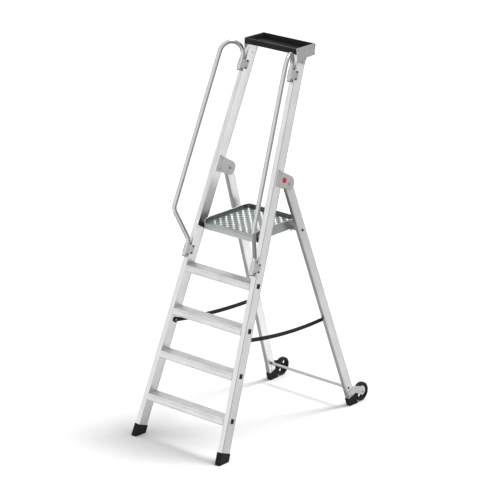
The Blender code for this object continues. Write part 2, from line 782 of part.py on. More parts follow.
def make_platform():
    """The deck: a floor with a rim on three sides, a skirt below and two saddles that sit
    over the support tube."""
    wide = DECK_HALF_WIDTH
    up = Vector((0, 0, 1))

    def place(x, y):
        return world(x, y, 0)

    def block(inset, front, low, high):
        """Square corners at the front, and round ones at the back."""
        side, back, corner = wide - inset, DECK_BACK_Y - inset, DECK_CORNER - inset
        outline = [(-side, front), (side, front)]
        outline += arc((side - corner, back - corner), corner, 0, 90, 4)
        outline += arc((corner - side, back - corner), corner, 90, 180, 4)
        ends = [(world(0, 0, z), up) for z in (low, high)]
        return prism(outline, place, up, ends)

    sheet = DECK_SHEET
    deck = finish("platform_deck", block(0, DECK_FRONT_Y, SKIRT_Z, RIM_TOP_Z), "deck", PLATFORM)
    above = block(sheet, DECK_FRONT_Y - sheet, DECK_Z, RIM_TOP_Z + sheet)
    below = block(sheet, DECK_FRONT_Y + sheet, SKIRT_Z - sheet, DECK_Z - sheet)
    tube = LEGS[1].at(0, 0, leg_at_height(LEGS[1], SUPPORT_Z))
    tube_y = tube.y + ORIGIN_Y
    for name, side in SIDES:
        outline = [
            (tube_y - 0.034, SKIRT_Z + 0.004), (tube_y - 0.026, SADDLE_Z + 0.006),
            (tube_y - 0.018, SADDLE_Z), (tube_y + 0.022, SADDLE_Z),
            (tube_y + 0.032, SADDLE_Z + 0.008), (tube_y + 0.034, SKIRT_Z + 0.004),
        ]
        ends = [
            (world(side * (wide - sheet), 0, 0), Vector((1, 0, 0))),
            (world(side * wide, 0, 0), Vector((1, 0, 0))),
        ]
        bm = prism(outline, lambda y, z: world(side * wide, y, z), Vector((1, 0, 0)), ends)
        boolean(deck, finish("saddle_" + name, bm, "steel"), "UNION")
    boolean(deck, finish("deck_pocket_above", above, "steel"))
    boolean(deck, finish("deck_pocket_below", below, "steel"))
    boolean(deck, finish("saddle_slot", saddle_slot(tube_y), "steel"))
    for name, side in SIDES:
        pin = platform_pin(side)
        start = Vector((side * (wide - 0.012), pin.y, pin.z))
        hole = rod(start, start + Vector((side * 0.02, 0, 0)), PLATFORM_PIN + GAP, 16)
        boolean(deck, finish("deck_pin_hole_" + name, hole, "steel"))
        make_platform_pin(name, side)


def saddle_slot(tube_y):
    """The slot that the support tube drops out of as the platform swings up: round at the
    tube and open forward and down."""
    radius = SUPPORT_RADIUS + 0.0010
    heading = radians(245)
    run = 0.045
    down = (cos(heading) * run, sin(heading) * run)
    outline = arc((tube_y, SUPPORT_Z), radius, -25, 155, 8)
    outline.append((outline[-1][0] + down[0], outline[-1][1] + down[1]))
    outline.append((outline[0][0] + down[0], outline[0][1] + down[1]))
    across = Vector((1, 0, 0))
    ends = [(world(x, 0, 0), across) for x in (-0.2, 0.2)]
    return prism(outline, lambda y, z: world(0, y, z), across, ends)


def make_platform_pin(name, side):
    """The pin through the deck's skirt and its collar up to the pad."""
    pin = platform_pin(side)
    skirt = DECK_HALF_WIDTH
    tip = abs(pin.x) - 0.0012
    collar_end = tip - PAD_THICKNESS
    profile = [
        (skirt - DECK_SHEET - 0.006, 0), (skirt - DECK_SHEET - 0.006, 0.008),
        (skirt - DECK_SHEET - GAP, 0.008), (skirt - DECK_SHEET - GAP, PLATFORM_PIN),
        (skirt + GAP, PLATFORM_PIN), (skirt + GAP, 0.009), (collar_end, 0.009),
        (collar_end, PLATFORM_PIN), (tip, PLATFORM_PIN), (tip, 0),
    ]
    start = Vector((0, pin.y, pin.z))
    finish("platform_pin_" + name, turned(profile, start, Vector((side, 0, 0)), 16), "steel", PLATFORM)


def make_straps():
    """A webbing band on each side, from the stile's inner face to the leg's inner face."""
    for name, side in SIDES:
        stile, leg = STILES[side], LEGS[side]
        start = world(0, *STRAP_FRONT)
        stile_face = stile.at(-STILE_WIDTH / 2 - STRAP_CLEAR, 0, 0)
        start = on_plane(start, Vector((side, 0, 0)), stile_face, stile.out)
        end = leg.at(-LEG_WIDTH / 2 - STRAP_CLEAR, 0, leg_at_height(leg, STRAP_BACK_Z))
        run = end - start
        count = 16
        bm = bmesh.new()
        rings = []
        for i in range(count + 1):
            at = i / count
            middle = start + run * at
            middle.z -= 4 * STRAP_SAG[name] * at * (1 - at)
            slope = Vector((0, run.y, run.z - 4 * STRAP_SAG[name] * (1 - 2 * at))).normalized()
            edge = Vector((0, -slope.z, slope.y)) * (STRAP_WIDTH / 2)
            thick = Vector((-side * STRAP_THICKNESS, 0, 0))
            far = middle + thick
            rings.append(ring(bm, [middle - edge, middle + edge, far + edge, far - edge]))
        for first, second in zip(rings, rings[1:]):
            bridge(bm, first, second)
        bm.faces.new(rings[0])
        bm.faces.new(rings[-1])
        finish("restraint_strap_" + name, bm, "webbing")


clear_scene()
LOOKS = {
    "aluminium": material("aluminium", (0.72, 0.72, 0.72), 0.42, 1.0),
    "tread": material("tread", (0.70, 0.70, 0.70), 0.45, 1.0),
    "plate": material("plate", (0.55, 0.55, 0.55), 0.45, 1.0),
    "polished_tube": material("polished_tube", (0.66, 0.66, 0.66), 0.22, 1.0),
    "deck": material("deck", (0.46, 0.49, 0.48), 0.45, 1.0),
    "steel": material("steel", (0.45, 0.45, 0.46), 0.30, 1.0),
    "dark_steel": material("dark_steel", (0.06, 0.06, 0.06), 0.40, 0.8),
    "black_plastic": material("black_plastic", (0.012, 0.012, 0.012), 0.45, 0.0),
    "dark_plastic": material("dark_plastic", (0.05, 0.05, 0.05), 0.45, 0.0),
    "rubber": material("rubber", (0.02, 0.02, 0.02), 0.75, 0.0),
    "tyre": material("tyre", (0.014, 0.014, 0.014), 0.65, 0.0),
    "red_plastic": material("red_plastic", (0.45, 0.01, 0.04), 0.35, 0.0),
    "webbing": material("webbing", (0.03, 0.03, 0.03), 0.85, 0.0),
}
STILES = {side: stile_frame(side) for _, side in SIDES}
LEGS = {side: leg_frame(side) for _, side in SIDES}
FOLD = pivot("leg_fold_axis", (0, LEGS[1].origin.y, LEGS[1].origin.z))
PLATFORM = pivot("platform_fold_axis", (0, platform_pin(1).y, platform_pin(1).z))

make_stiles()
make_treads()
make_front_feet()
make_hinges()
make_hinge_cap()
make_rails()
make_tray()
make_pads()
make_legs()
make_support()
make_stretcher()
make_rear_feet()
for wheel_name, wheel_side in SIDES:
    make_wheel_plate(wheel_name, wheel_side)
    make_wheel(wheel_name, wheel_side)
make_platform()
make_straps()
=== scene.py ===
"""Looks of the rolling platform ladder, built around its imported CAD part.

Metres, +Z up, in the part's own frame: X across the ladder, +Y the way the climber faces.
"""
import json
from math import atan2, cos, pi, radians, sin, tan

import bmesh
import bpy
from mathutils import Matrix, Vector

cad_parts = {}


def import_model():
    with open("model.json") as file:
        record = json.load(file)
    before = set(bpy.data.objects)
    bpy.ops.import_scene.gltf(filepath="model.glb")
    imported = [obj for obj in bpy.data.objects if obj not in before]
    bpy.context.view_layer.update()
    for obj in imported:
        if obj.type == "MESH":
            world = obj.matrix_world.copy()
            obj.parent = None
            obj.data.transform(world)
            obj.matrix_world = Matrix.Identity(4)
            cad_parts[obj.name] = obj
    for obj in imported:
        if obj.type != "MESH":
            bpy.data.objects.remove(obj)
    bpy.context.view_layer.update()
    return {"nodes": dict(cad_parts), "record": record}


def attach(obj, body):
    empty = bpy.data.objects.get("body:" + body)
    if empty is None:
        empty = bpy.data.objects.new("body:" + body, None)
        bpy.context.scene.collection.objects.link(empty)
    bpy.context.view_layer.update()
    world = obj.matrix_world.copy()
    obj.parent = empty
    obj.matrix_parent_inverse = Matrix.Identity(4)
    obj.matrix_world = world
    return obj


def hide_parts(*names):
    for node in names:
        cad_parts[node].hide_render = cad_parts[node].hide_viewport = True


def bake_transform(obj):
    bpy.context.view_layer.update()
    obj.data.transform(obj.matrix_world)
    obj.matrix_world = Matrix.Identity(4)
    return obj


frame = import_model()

GAP = 0.0003
ORIGIN_Y = 0.65639
SIDES = (("left", -1), ("right", 1))
FRONT, REAR, DECK = "front_ladder", "rear_frame", "platform"
UP = Vector((0, 0, 1))
ACROSS = Vector((1, 0, 0))

# Front ladder
STEP_RISE, STEP_COUNT = 0.235, 4
LEAN, TAPER = tan(radians(20.94)), tan(radians(3.8))
STILE_WIDTH, STILE_DEPTH, STILE_WALL = 0.031, 0.069, 0.0022
STILE_HALF_SPREAD, STILE_TOP_Z = 0.3321, 2.1417
CORNER_RADIUS = 0.003
TREAD_DEPTH, TREAD_HEIGHT, TREAD_ABOVE_RISE = 0.07, 0.036, 0.004
PLUG_SIZE, PLUG_DROP = (0.022, 0.028), 0.005
PLUG_RINGS = ((0.0, 0.0), (0.0, 0.0016), (0.0009, 0.0025), (0.0034, 0.0025), (0.0042, 0.001))
FOOT_SIDE_WALL = 0.003
FRONT_FOOT_LENGTH, FRONT_FOOT_BACK_WALL, FRONT_SOLE = 0.0733, 0.007, 0.034
REAR_FOOT_LENGTH, REAR_FOOT_WALL, REAR_SOLE = 0.058, 0.0045, 0.022
SOLE = [(0.0, 0.0022, 0.0), (0.0, 0.0006, 0.0008), (0.0, 0.0, 0.003)]
BOOT_RIM = [(0.0, 0.0, 0.0012), (0.0, 0.0012, 0.0)]

# Rear frame
HINGE_ALONG, HINGE_BEHIND = 1.598, 0.132
LEG_WIDTH, LEG_DEPTH, LEG_WALL = 0.025, 0.057, 0.002
LEG_CENTRE_Y, LEG_SPREAD = 1.1836, 0.0605
HINGE_PLATE, HINGE_NOSE_RADIUS, HINGE_CAP_RADIUS = 0.003, 0.041, 0.0155
PIVOT_RADIUS, RUNNING_GAP = 0.005, 0.0005
STRETCHER_Z, STRETCHER_RADIUS, STRETCHER_TAB = 0.113, 0.008, 0.026
SUPPORT_Z, SUPPORT_RADIUS, SUPPORT_BOLT_BORE = 1.148, 0.0125, 0.0045

# Wheels
WHEEL_RADIUS, WHEEL_WIDTH, WHEEL_Y, WHEEL_Z = 0.0555, 0.024, 1.2605, 0.0575
RIM_RADIUS, SPOKE_HOLES, SPOKE_HOLE_RADIUS, SPOKE_HOLE_CIRCLE = 0.0435, 4, 0.0095, 0.0262
AXLE_RADIUS, WHEEL_PLATE, WHEEL_PLATE_NOSE = 0.004, 0.003, 0.0275

# Platform
DECK_Z, DECK_HALF_WIDTH = 1.179, 0.19
DECK_FRONT_Y, DECK_BACK_Y, DECK_CORNER = 0.4535, 0.832, 0.028
DECK_SHEET, RIM_TOP_Z, SKIRT_Z, SADDLE_Z = 0.003, 1.206, 1.15, 1.13
PANEL_FRONT_Y, FIELD_INSET, LIP_RADIUS, FRONT_CORNER = 0.48, 0.004, 0.009, 0.016
CELL, CELLS_ACROSS, CELLS_DEEP = 0.024, 15, 14
BUMP = ((0.0098, 0.0), (0.009, 0.0005), (0.0076, 0.0019), (0.0062, 0.0024), (0.0046, 0.0024),
        (0.0036, 0.0016), (0.0032, 0.0))
HOLE = ((0.0064, 0.0), (0.0056, -0.0008), (0.0042, -0.0014))
RIM_SECTION, RIM_INNER_WALL = 12, 8
PIVOT_ALONG, PAD_RISE, PAD_DROP = 1.258, 0.01, (0.008, 0.019)
PAD_THICKNESS, PAD_BORE = 0.03, 0.0055

# Hand rails
RAIL_RADIUS, RAIL_WALL, RAIL_SPLAY = 0.0125, 0.002, radians(24.8)
RAIL_STANDOFF, RAIL_REACH = 0.007, 0.143
RAIL_FOOT, RAIL_LOW_BEND, RAIL_KNEE = 1.062, 1.154, 1.302
RAIL_HOOK, RAIL_TIP, RAIL_BEND_RADIUS = 2.2144, 2.145, 0.055
CLAMP_ALONG, CLAMP_HEIGHT, CLAMP_BOLT_ALONG = (1.105, 2.183), 0.052, 0.0195
CLAMP_SHEET, CLAMP_FLANGE, CAP_LENGTH = 0.0025, 0.027, 0.004

# Tool tray
TRAY_FRONT_Y, TRAY_BACK_Y = 0.806, 0.963
TRAY_TOP_Z, TRAY_BOTTOM_Z, TRAY_WALL, TRAY_PLATE = 2.177, 2.1425, 0.003, 0.003

# Restraint straps
STRAP_WIDTH, STRAP_THICKNESS, STRAP_CLEAR = 0.024, 0.0016, 0.002
STRAP_FRONT, STRAP_BACK_Z = (0.2895, 0.6333), 0.574
STRAP_SAG = {"left": 0.016, "right": 0.023}
STRAP_SECTION = (
    (-1.0, 0.3), (-0.96, 0.0), (-0.5, 0.0), (0.0, 0.0), (0.5, 0.0), (0.96, 0.0), (1.0, 0.3),
    (1.0, 0.7), (0.96, 1.0), (0.5, 1.0), (0.0, 1.0), (-0.5, 1.0), (-0.96, 1.0), (-1.0, 0.7),
)
EYELET = ((0.004, 0.0062), (0.004, 0.015), (0.0048, 0.016), (0.0062, 0.016), (0.007, 0.0148),
          (0.007, 0.0062))
STUD = ((0.0002, 0), (0.0002, 0.0058), (0.007, 0.0058), (0.0086, 0.005), (0.0092, 0.003),
        (0.0094, 0))
COLLAR = ((0.004, 0), (0.004, 0.0095), (0.0052, 0.0095), (0.006, 0.0085), (0.006, 0))

# Stage
CAMERA_LENS, CAMERA_PLACE = 198.93, (9.673, -11.0039, 6.0641)
CAMERA_PITCH, CAMERA_YAW = 0.3322, 0.7222
FORWARD, RIGHT = Vector((-0.661, 0.75, 0)), Vector((0.75, 0.661, 0))
FLOOR_RADIUS, FLOOR_REACH, FLOOR_HALF_STRIP = 3.6, 16, 3.4
SKY, PANEL_DARK, BESIDE_DARK = 0.93, 0.55, 0.08
SUN_ENERGY, SUN_SPREAD, SUN_FROM = 2.3, radians(17), Vector((0.24, 0.51, 1.0))

RAIL_BACK = -RAIL_RADIUS - RAIL_STANDOFF


# Materials

def ramp(tree, source, low, high, start=0.0, end=1.0):
    """Maps a value from start..end to low..high."""
    node = tree.nodes.new("ShaderNodeMapRange")
    node.inputs["From Min"].default_value = start
    node.inputs["From Max"].default_value = end
    node.inputs["To Min"].default_value = low
    node.inputs["To Max"].default_value = high
    tree.links.new(source, node.inputs["Value"])
    return node.outputs["Result"]


def noise(tree, coords, scale, detail=3.0):
    """Noise whose grain has its own scale on each axis."""
    stretch = tree.nodes.new("ShaderNodeMapping")
    stretch.inputs["Scale"].default_value = scale
    tree.links.new(coords, stretch.inputs["Vector"])
    made = tree.nodes.new("ShaderNodeTexNoise")
    made.inputs["Scale"].default_value = 1.0
    made.inputs["Detail"].default_value = detail
    tree.links.new(stretch.outputs["Vector"], made.inputs["Vector"])
    return made.outputs["Fac"]


def maths(tree, first, second, operation):
    node = tree.nodes.new("ShaderNodeMath")
    node.operation = operation
    for value, socket in ((first, node.inputs[0]), (second, node.inputs[1])):
        if isinstance(value, (int, float)):
            socket.default_value = value
        else:
            tree.links.new(value, socket)
    return node.outputs["Value"]


def split(tree, vector):
    """The sockets of a vector's X, Y and Z."""
    node = tree.nodes.new("ShaderNodeSeparateXYZ")
    tree.links.new(vector, node.inputs["Vector"])
    return node.outputs


def vector_maths(tree, operation, first, second=None, result="Vector"):
    """Vector arithmetic on a socket and a fixed vector."""
    node = tree.nodes.new("ShaderNodeVectorMath")
    node.operation = operation
    tree.links.new(first, node.inputs[0])
    if second is not None:
        node.inputs[1].default_value = second
    return node.outputs[result]


def surface(name, metallic, own_coords=True):
    """A Principled material and the coordinates that its detail follows."""
    made = bpy.data.materials.new(name)
    made.use_nodes = True
    tree = made.node_tree
    shader = tree.nodes["Principled BSDF"]
    shader.inputs["Metallic"].default_value = metallic
    if not own_coords:
        return made, tree, shader, tree.nodes.new("ShaderNodeTexCoord").outputs["Object"]
    source = tree.nodes.new("ShaderNodeAttribute")
    source.attribute_name = "grain"
    return made, tree, shader, source.outputs["Vector"]


def tint(tree, shader, colour, shade):
    """Base colour = colour times the shade value."""
    node = tree.nodes.new("ShaderNodeVectorMath")
    node.operation = "SCALE"
    node.inputs[0].default_value = colour
    tree.links.new(shade, node.inputs["Scale"])
    tree.links.new(node.outputs["Vector"], shader.inputs["Base Color"])


def bump(tree, shader, height, strength, distance):
    node = tree.nodes.new("ShaderNodeBump")
    node.inputs["Strength"].default_value = strength
    node.inputs["Distance"].default_value = distance
    tree.links.new(height, node.inputs["Height"])
    tree.links.new(node.outputs["Normal"], shader.inputs["Normal"])


def metal(name, colour, roughness, streak=0.05, smudge=0.06, relief=0.06, own_coords=True,
          underside=0.34, side_shade=0.72, shade_stretches=(), inner_gain=1.0, height_gain=(1.0, 1.0)):
    """Drawn or extruded metal: fine lines along the member, scratches and faint smudges. Painted
    shade darkens faces that look down or sideways, inner_gain and height_gain paint the side faces
    lighter or darker on the inner side and towards the top, and each listed stretch paints shade on
    the inner faces along part of a member."""
    made, tree, shader, coords = surface(name, 1.0, own_coords)
    lines = noise(tree, coords, (1100, 1100, 9), 4)
    scratches = noise(tree, coords, (260, 260, 2.5), 2)
    smudges = noise(tree, coords, (14, 14, 7), 3)
    fine = ramp(tree, lines, -streak, streak, 0.3, 0.7)
    broad = ramp(tree, smudges, -smudge, smudge * 0.5, 0.3, 0.7)
    marks = ramp(tree, scratches, -streak, streak * 0.3, 0.35, 0.6)
    shade = maths(tree, maths(tree, fine, broad, "ADD"), marks, "ADD")
    facing = tree.nodes.new("ShaderNodeNewGeometry")
    tilt = split(tree, facing.outputs["Normal"])
    # Painted shade on faces that look down, then painted light and shade on side faces by side and by
    # height.
    painted_light_shade = ramp(tree, tilt["Z"], underside, 1.0, -0.3, -0.02)
    sideways = maths(tree, tilt["X"], tilt["X"], "MULTIPLY")
    side_mask = ramp(tree, sideways, 0.0, 1.0, 0.35, 0.85)
    spot = split(tree, coords)
    target = ramp(tree, spot["X"], side_shade * inner_gain, side_shade, -0.001, 0.001)
    target = maths(tree, target, ramp(tree, spot["Z"], *height_gain, 0.15, 2.15), "MULTIPLY")
    extra = maths(tree, maths(tree, target, 1.0, "SUBTRACT"), side_mask, "MULTIPLY")
    painted_light_shade = maths(tree, painted_light_shade, maths(tree, extra, 1.0, "ADD"), "MULTIPLY")
    # Painted shade over the listed stretches of the inner faces, standing in for a dark reflection.
    for start, end, low, inner in shade_stretches:
        near = maths(tree, ramp(tree, spot["Z"], 1, 0, start - 0.01, start),
                          ramp(tree, spot["Z"], low, 1, start, end), "MAXIMUM")
        off = ramp(tree, spot["X"], 0, 1, inner, inner + 0.0006)
        painted_light_shade = maths(tree, painted_light_shade, maths(tree, near, off, "MAXIMUM"), "MULTIPLY")
    tint(tree, shader, colour, maths(tree, maths(tree, shade, 1.0, "ADD"), painted_light_shade, "MULTIPLY"))
    rough = maths(tree, maths(tree, shade, -0.6, "MULTIPLY"), roughness, "ADD")
    tree.links.new(rough, shader.inputs["Roughness"])
    bump(tree, shader, lines, relief, 0.0004)
    return made


def floor_metal(name, colour, roughness):
    """The walked-on sheet: painted highlight on the bump tops, painted shade on the flats between them
    and in the holes, with patchy dirt.
    """
    made, tree, shader, coords = surface(name, 1.0)
    height = split(tree, coords)["Y"]
    # Painted light and shade by height: bump tops lighter, flats darker.
    bump_light_shade = ramp(tree, height, 0.62, 1.16, DECK_Z, DECK_Z + 0.002)
    # Painted shade on the hole walls below the sheet's top.
    hollow = ramp(tree, height, 0.06, 1.0, DECK_Z - 0.001, DECK_Z - 0.0002)
    bump_light_shade = maths(tree, bump_light_shade, hollow, "MULTIPLY")
    dirt = noise(tree, coords, (60, 60, 60), 4)
    fine = noise(tree, coords, (900, 900, 900), 2)
    shade = maths(tree, bump_light_shade, ramp(tree, dirt, 0.86, 1.08, 0.3, 0.7), "MULTIPLY")
    tint(tree, shader, colour, shade)
    rough = ramp(tree, bump_light_shade, roughness + 0.14, roughness - 0.04, 0.62, 1.16)
    tree.links.new(rough, shader.inputs["Roughness"])
    bump(tree, shader, fine, 0.08, 0.0004)
    return made


def moulded(name, colour, roughness, pebble=900, relief=0.12, dust=0.25, sheen=0.13):
    """Moulded plastic or rubber: a fine pebble, uneven sheen and a little dust."""
    made, tree, shader, coords = surface(name, 0.0)
    shader.inputs["Specular IOR Level"].default_value = sheen
    grain = noise(tree, coords, (pebble, pebble, pebble), 2)
    patches = noise(tree, coords, (35, 35, 35), 4)
    shade = ramp(tree, patches, 1 - dust * 0.5, 1 + dust, 0.35, 0.75)
    tint(tree, shader, colour, shade)
    rough = ramp(tree, patches, roughness - 0.06, roughness + 0.08, 0.3, 0.7)
    tree.links.new(rough, shader.inputs["Roughness"])
    bump(tree, shader, grain, relief, 0.0003)
    return made


def webbing(name, colour):
    """Woven strap: ribs across the band crossed by a finer weft."""
    made, tree, shader, coords = surface(name, 0.0)
    waves = []
    for direction, scale in (("X", 320.0), ("Z", 210.0)):
        wave = tree.nodes.new("ShaderNodeTexWave")
        wave.bands_direction = direction
        wave.inputs["Scale"].default_value = scale
        wave.inputs["Distortion"].default_value = 0.6
        wave.inputs["Detail"].default_value = 1.0
        tree.links.new(coords, wave.inputs["Vector"])
        waves.append(wave.outputs["Fac"])
    weave = maths(tree, waves[0], waves[1], "MULTIPLY")
    fuzz = noise(tree, coords, (700, 700, 700), 3)
    height = maths(tree, weave, maths(tree, fuzz, 0.5, "MULTIPLY"), "ADD")
    tint(tree, shader, colour, ramp(tree, height, 0.55, 1.7, 0.0, 1.2))
    tree.links.new(ramp(tree, fuzz, 0.78, 0.95), shader.inputs["Roughness"])
    shader.inputs["Sheen Weight"].default_value = 0.06
    shader.inputs["Specular IOR Level"].default_value = 0.15
    bump(tree, shader, height, 0.6, 0.0006)
    return made


LOOKS = {
    # The stiles' aluminium paints shade on their inner faces just above the platform, a painted
    # reflection of the dark rim, and paints their side faces lighter inside and towards the top. The
    # legs' copy paints their inner faces lighter.
    "aluminium": metal("aluminium", (0.85, 0.85, 0.85), 0.34, shade_stretches=[(1.266, 1.42, 0.36, -0.0153)],
                       inner_gain=1.1, height_gain=(0.86, 1.42)),
    "leg_aluminium": metal("leg_aluminium", (0.86, 0.845, 0.85), 0.36, inner_gain=1.42),
    # Darker metals for the grooves of stiles and treads: painted shade in the grooves.
    "groove": metal("groove", (0.26, 0.26, 0.26), 0.45),
    "tread_groove": metal("tread_groove", (0.6, 0.6, 0.6), 0.45),
    "tread": metal("tread", (0.84, 0.84, 0.84), 0.36, 0.07, 0.1, 0.1),
    "thin_tube": metal("thin_tube", (0.56, 0.56, 0.56), 0.28, 0.04, 0.05, 0.04),
    # The rolled edge is a lighter black than the tray: a painted highlight along the rim.
    "tray_edge_highlight": moulded("tray_edge_highlight", (0.075, 0.075, 0.075), 0.4, 700, 0.06, sheen=0.35),
    "plate": metal("plate", (0.7, 0.7, 0.7), 0.4, 0.06, 0.1, 0.08),
    "polished_tube": metal("polished_tube", (0.72, 0.72, 0.72), 0.13, 0.03, 0.04, 0.03,
                           side_shade=0.48),
    "deck": metal("deck", (0.46, 0.49, 0.48), 0.36, 0.06, 0.08, 0.06),
    # A darker metal for the rim's inner wall: painted shade.
    "rim_inside_shade": metal("rim_inside_shade", (0.19, 0.21, 0.205), 0.4, 0.06, 0.08, 0.06),
    "deck_floor": floor_metal("deck_floor", (0.6, 0.64, 0.63), 0.34),
    "steel": metal("steel", (0.52, 0.52, 0.53), 0.28, 0.05, 0.08, 0.05, False),
    "rivet": metal("rivet", (0.42, 0.42, 0.43), 0.34, 0.05, 0.08, 0.05, False),
    "dark_steel": metal("dark_steel", (0.05, 0.05, 0.052), 0.34, 0.1, 0.2, 0.08, False),
    "black_plastic": moulded("black_plastic", (0.01, 0.01, 0.011), 0.38),
    "tray_plastic": moulded("tray_plastic", (0.013, 0.014, 0.014), 0.36, 700, 0.08),
    "dark_plastic": moulded("dark_plastic", (0.035, 0.035, 0.036), 0.42),
    "rubber": moulded("rubber", (0.009, 0.009, 0.009), 0.52, 1300, 0.18, 0.35),
    "tyre": moulded("tyre", (0.012, 0.011, 0.012), 0.48, 1100, 0.14, 0.35),
    "red_plastic": moulded("red_plastic", (0.5, 0.01, 0.045), 0.32, 800, 0.05),
    "webbing": webbing("webbing", (0.01, 0.01, 0.011)),
}


# Mesh tools

def world(x, y, z):
    """A point given from the front feet's toe line, moved to the part's own origin."""
    return Vector((x, y - ORIGIN_Y, z))


class Axes:
    """A slanted set of axes: out points away from the ladder's middle, back across the
    member's depth and up along its length."""

    def __init__(self, origin, out, back, up):
        self.origin, self.out, self.back, self.up = origin, out, back, up

    def at(self, out, back, up):
        return self.origin + self.out * out + self.back * back + self.up * up

    def flat(self, out, back):
        return self.at(out, back, 0)

    def cut(self, up):
        """The plane across the member at this place along it."""
        return self.at(0, 0, up), self.up

    def side(self, out):
        """The plane along the member, this far out."""
        return self.at(out, 0, 0), self.out

    def grain(self, point):
        rel = point - self.origin
        return rel.dot(self.out), rel.dot(self.back), rel.dot(self.up)


def stile_axes(side):
    up = Vector((-side * TAPER, LEAN, 1)).normalized()
    back = Vector((0, 1, -LEAN)).normalized()
    middle = world(side * (STILE_HALF_SPREAD - STILE_WIDTH / 2), 0, 0)
    return Axes(middle, side * back.cross(up), back, up)


STILES = {side: stile_axes(side) for _, side in SIDES}


def leg_axes(side):
    """Its origin is the hinge pin's middle, and up runs along the leg."""
    hinge = STILES[side].at(0, HINGE_BEHIND, HINGE_ALONG)
    slope = (LEG_CENTRE_Y - ORIGIN_Y - hinge.y) / hinge.z
    up = Vector((-side * LEG_SPREAD, -slope, 1)).normalized()
    back = Vector((0, 1, slope)).normalized()
    return Axes(hinge, side * back.cross(up), back, up)


LEGS = {side: leg_axes(side) for _, side in SIDES}
CROSSWISE = Axes(Vector((0, 0, 0)), Vector((0, 1, 0)), Vector((0, 0, 1)), Vector((1, 0, 0)))
UPRIGHT = Axes(Vector((0, 0, 0)), Vector((1, 0, 0)), Vector((0, 1, 0)), Vector((0, 0, 1)))


def leg_at_height(leg, z):
    return (z - leg.origin.z) / leg.up.z


def arc(centre, radius, start, end, count):
    points = []
    for i in range(count + 1):
        turn = radians(start + (end - start) * i / count)
        points.append((centre[0] + radius * cos(turn), centre[1] + radius * sin(turn)))
    return points


def rounded(low, high, radius, count=5):
    """A rectangle with round corners, anticlockwise."""
    (x0, y0), (x1, y1) = low, high
    points = arc((x1 - radius, y1 - radius), radius, 0, 90, count)
    points += arc((x0 + radius, y1 - radius), radius, 90, 180, count)
    points += arc((x0 + radius, y0 + radius), radius, 180, 270, count)
    points += arc((x1 - radius, y0 + radius), radius, 270, 360, count)
    return points


def notched(width, depth, radius, notches, deepen=1.0, inset=0.0, count=5):
    """A member's outline in (out, back) with round corners and shallow grooves. notches holds
    (side, place, wide, deep), and inset shrinks the outline by the same amount all round."""
    half, low, high = width / 2 - inset, inset, depth - inset
    radius = max(radius - inset, 0.0004)
    runs = (
        ("outer", Vector((half, low + radius)), Vector((0, 1)), 0),
        ("back", Vector((half - radius, high)), Vector((-1, 0)), 90),
        ("inner", Vector((-half, high - radius)), Vector((0, -1)), 180),
        ("front", Vector((-half + radius, low)), Vector((1, 0)), 270),
    )
    corners = ((half - radius, high - radius), (-half + radius, high - radius),
               (-half + radius, low + radius), (half - radius, low + radius))
    points = []
    for (side, start, along, angle), corner in zip(runs, corners):
        inward = Vector((-along.y, along.x))
        cuts = []
        for where, place, wide, deep in notches:
            if where == side:
                at = Vector((place, place)) - start
                reach = at.dot(Vector((abs(along.x), abs(along.y)))) * (along.x + along.y)
                cuts.append((reach, wide, deep))
        for at, wide, deep in sorted(cuts):
            slope = min(deep * 0.4, wide * 0.3)
            edge = wide / 2
            for run, sink in ((-edge, 0), (slope - edge, deep), (edge - slope, deep), (edge, 0)):
                points.append(tuple(start + along * (at + run) + inward * (sink * deepen)))
        points += arc(corner, radius, angle, angle + 90, count)
    return points


def groove_faces(outline, width, depth):
    """Which of an outline's edges lie inside its grooves."""
    found = set()
    for i, (x, y) in enumerate(outline):
        u, v = outline[(i + 1) % len(outline)]
        mid_x, mid_y = (x + u) / 2, (y + v) / 2
        sunk = min(width / 2 - abs(mid_x), mid_y, depth - mid_y)
        corner = abs(mid_x) > width / 2 - CORNER_RADIUS and min(mid_y, depth - mid_y) < CORNER_RADIUS
        if sunk > 0.0002 and not corner:
            found.add(i)
    return found


def darken_grooves(made, outline, width, depth, look):
    """Gives the grooves of an extruded member a darker metal: painted shade in the grooves."""
    made.data.materials.append(LOOKS[look])
    found = groove_faces(outline, width, depth)
    for face in list(made.data.polygons)[:len(outline)]:
        if face.index in found:
            face.material_index = 1


def ring(bm, points):
    return [bm.verts.new(point) for point in points]


def bridge(bm, first, second):
    count = len(first)
    for i in range(count):
        j = (i + 1) % count
        bm.faces.new((first[i], first[j], second[j], second[i]))


def skin(bm, rings, closed=False):
    """Joins rings one after another, then caps the ends or joins the last to the first."""
    for first, second in zip(rings, rings[1:]):
        bridge(bm, first, second)
    if closed:
        bridge(bm, rings[-1], rings[0])
    else:
        bm.faces.new(rings[0])
        bm.faces.new(rings[-1])


def on_plane(start, direction, point, normal):
    return start + direction * ((point - start).dot(normal) / direction.dot(normal))


def prism(outline, place, along, ends, hollow=None, bm=None):
    """Extrudes an outline between two planes. hollow is a bore with as many points."""
    bm = bm or bmesh.new()
    loops = []
    for points in (outline, hollow):
        if points:
            for point, normal in ends:
                loops.append(ring(bm, [on_plane(place(*p), along, point, normal) for p in points]))
    bridge(bm, loops[0], loops[1])
    if hollow:
        bridge(bm, loops[2], loops[3])
        bridge(bm, loops[0], loops[2])
        bridge(bm, loops[1], loops[3])
    else:
        bm.faces.new(loops[0])
        bm.faces.new(loops[1])
    return bm


def plate(outline, axes, near, far, bm=None):
    """A flat plate in a member's side plane: the outline is in (back, up)."""
    ends = [axes.side(out) for out in (near, far)]
    return prism(outline, lambda back, up: axes.at(0, back, up), axes.out, ends, None, bm)


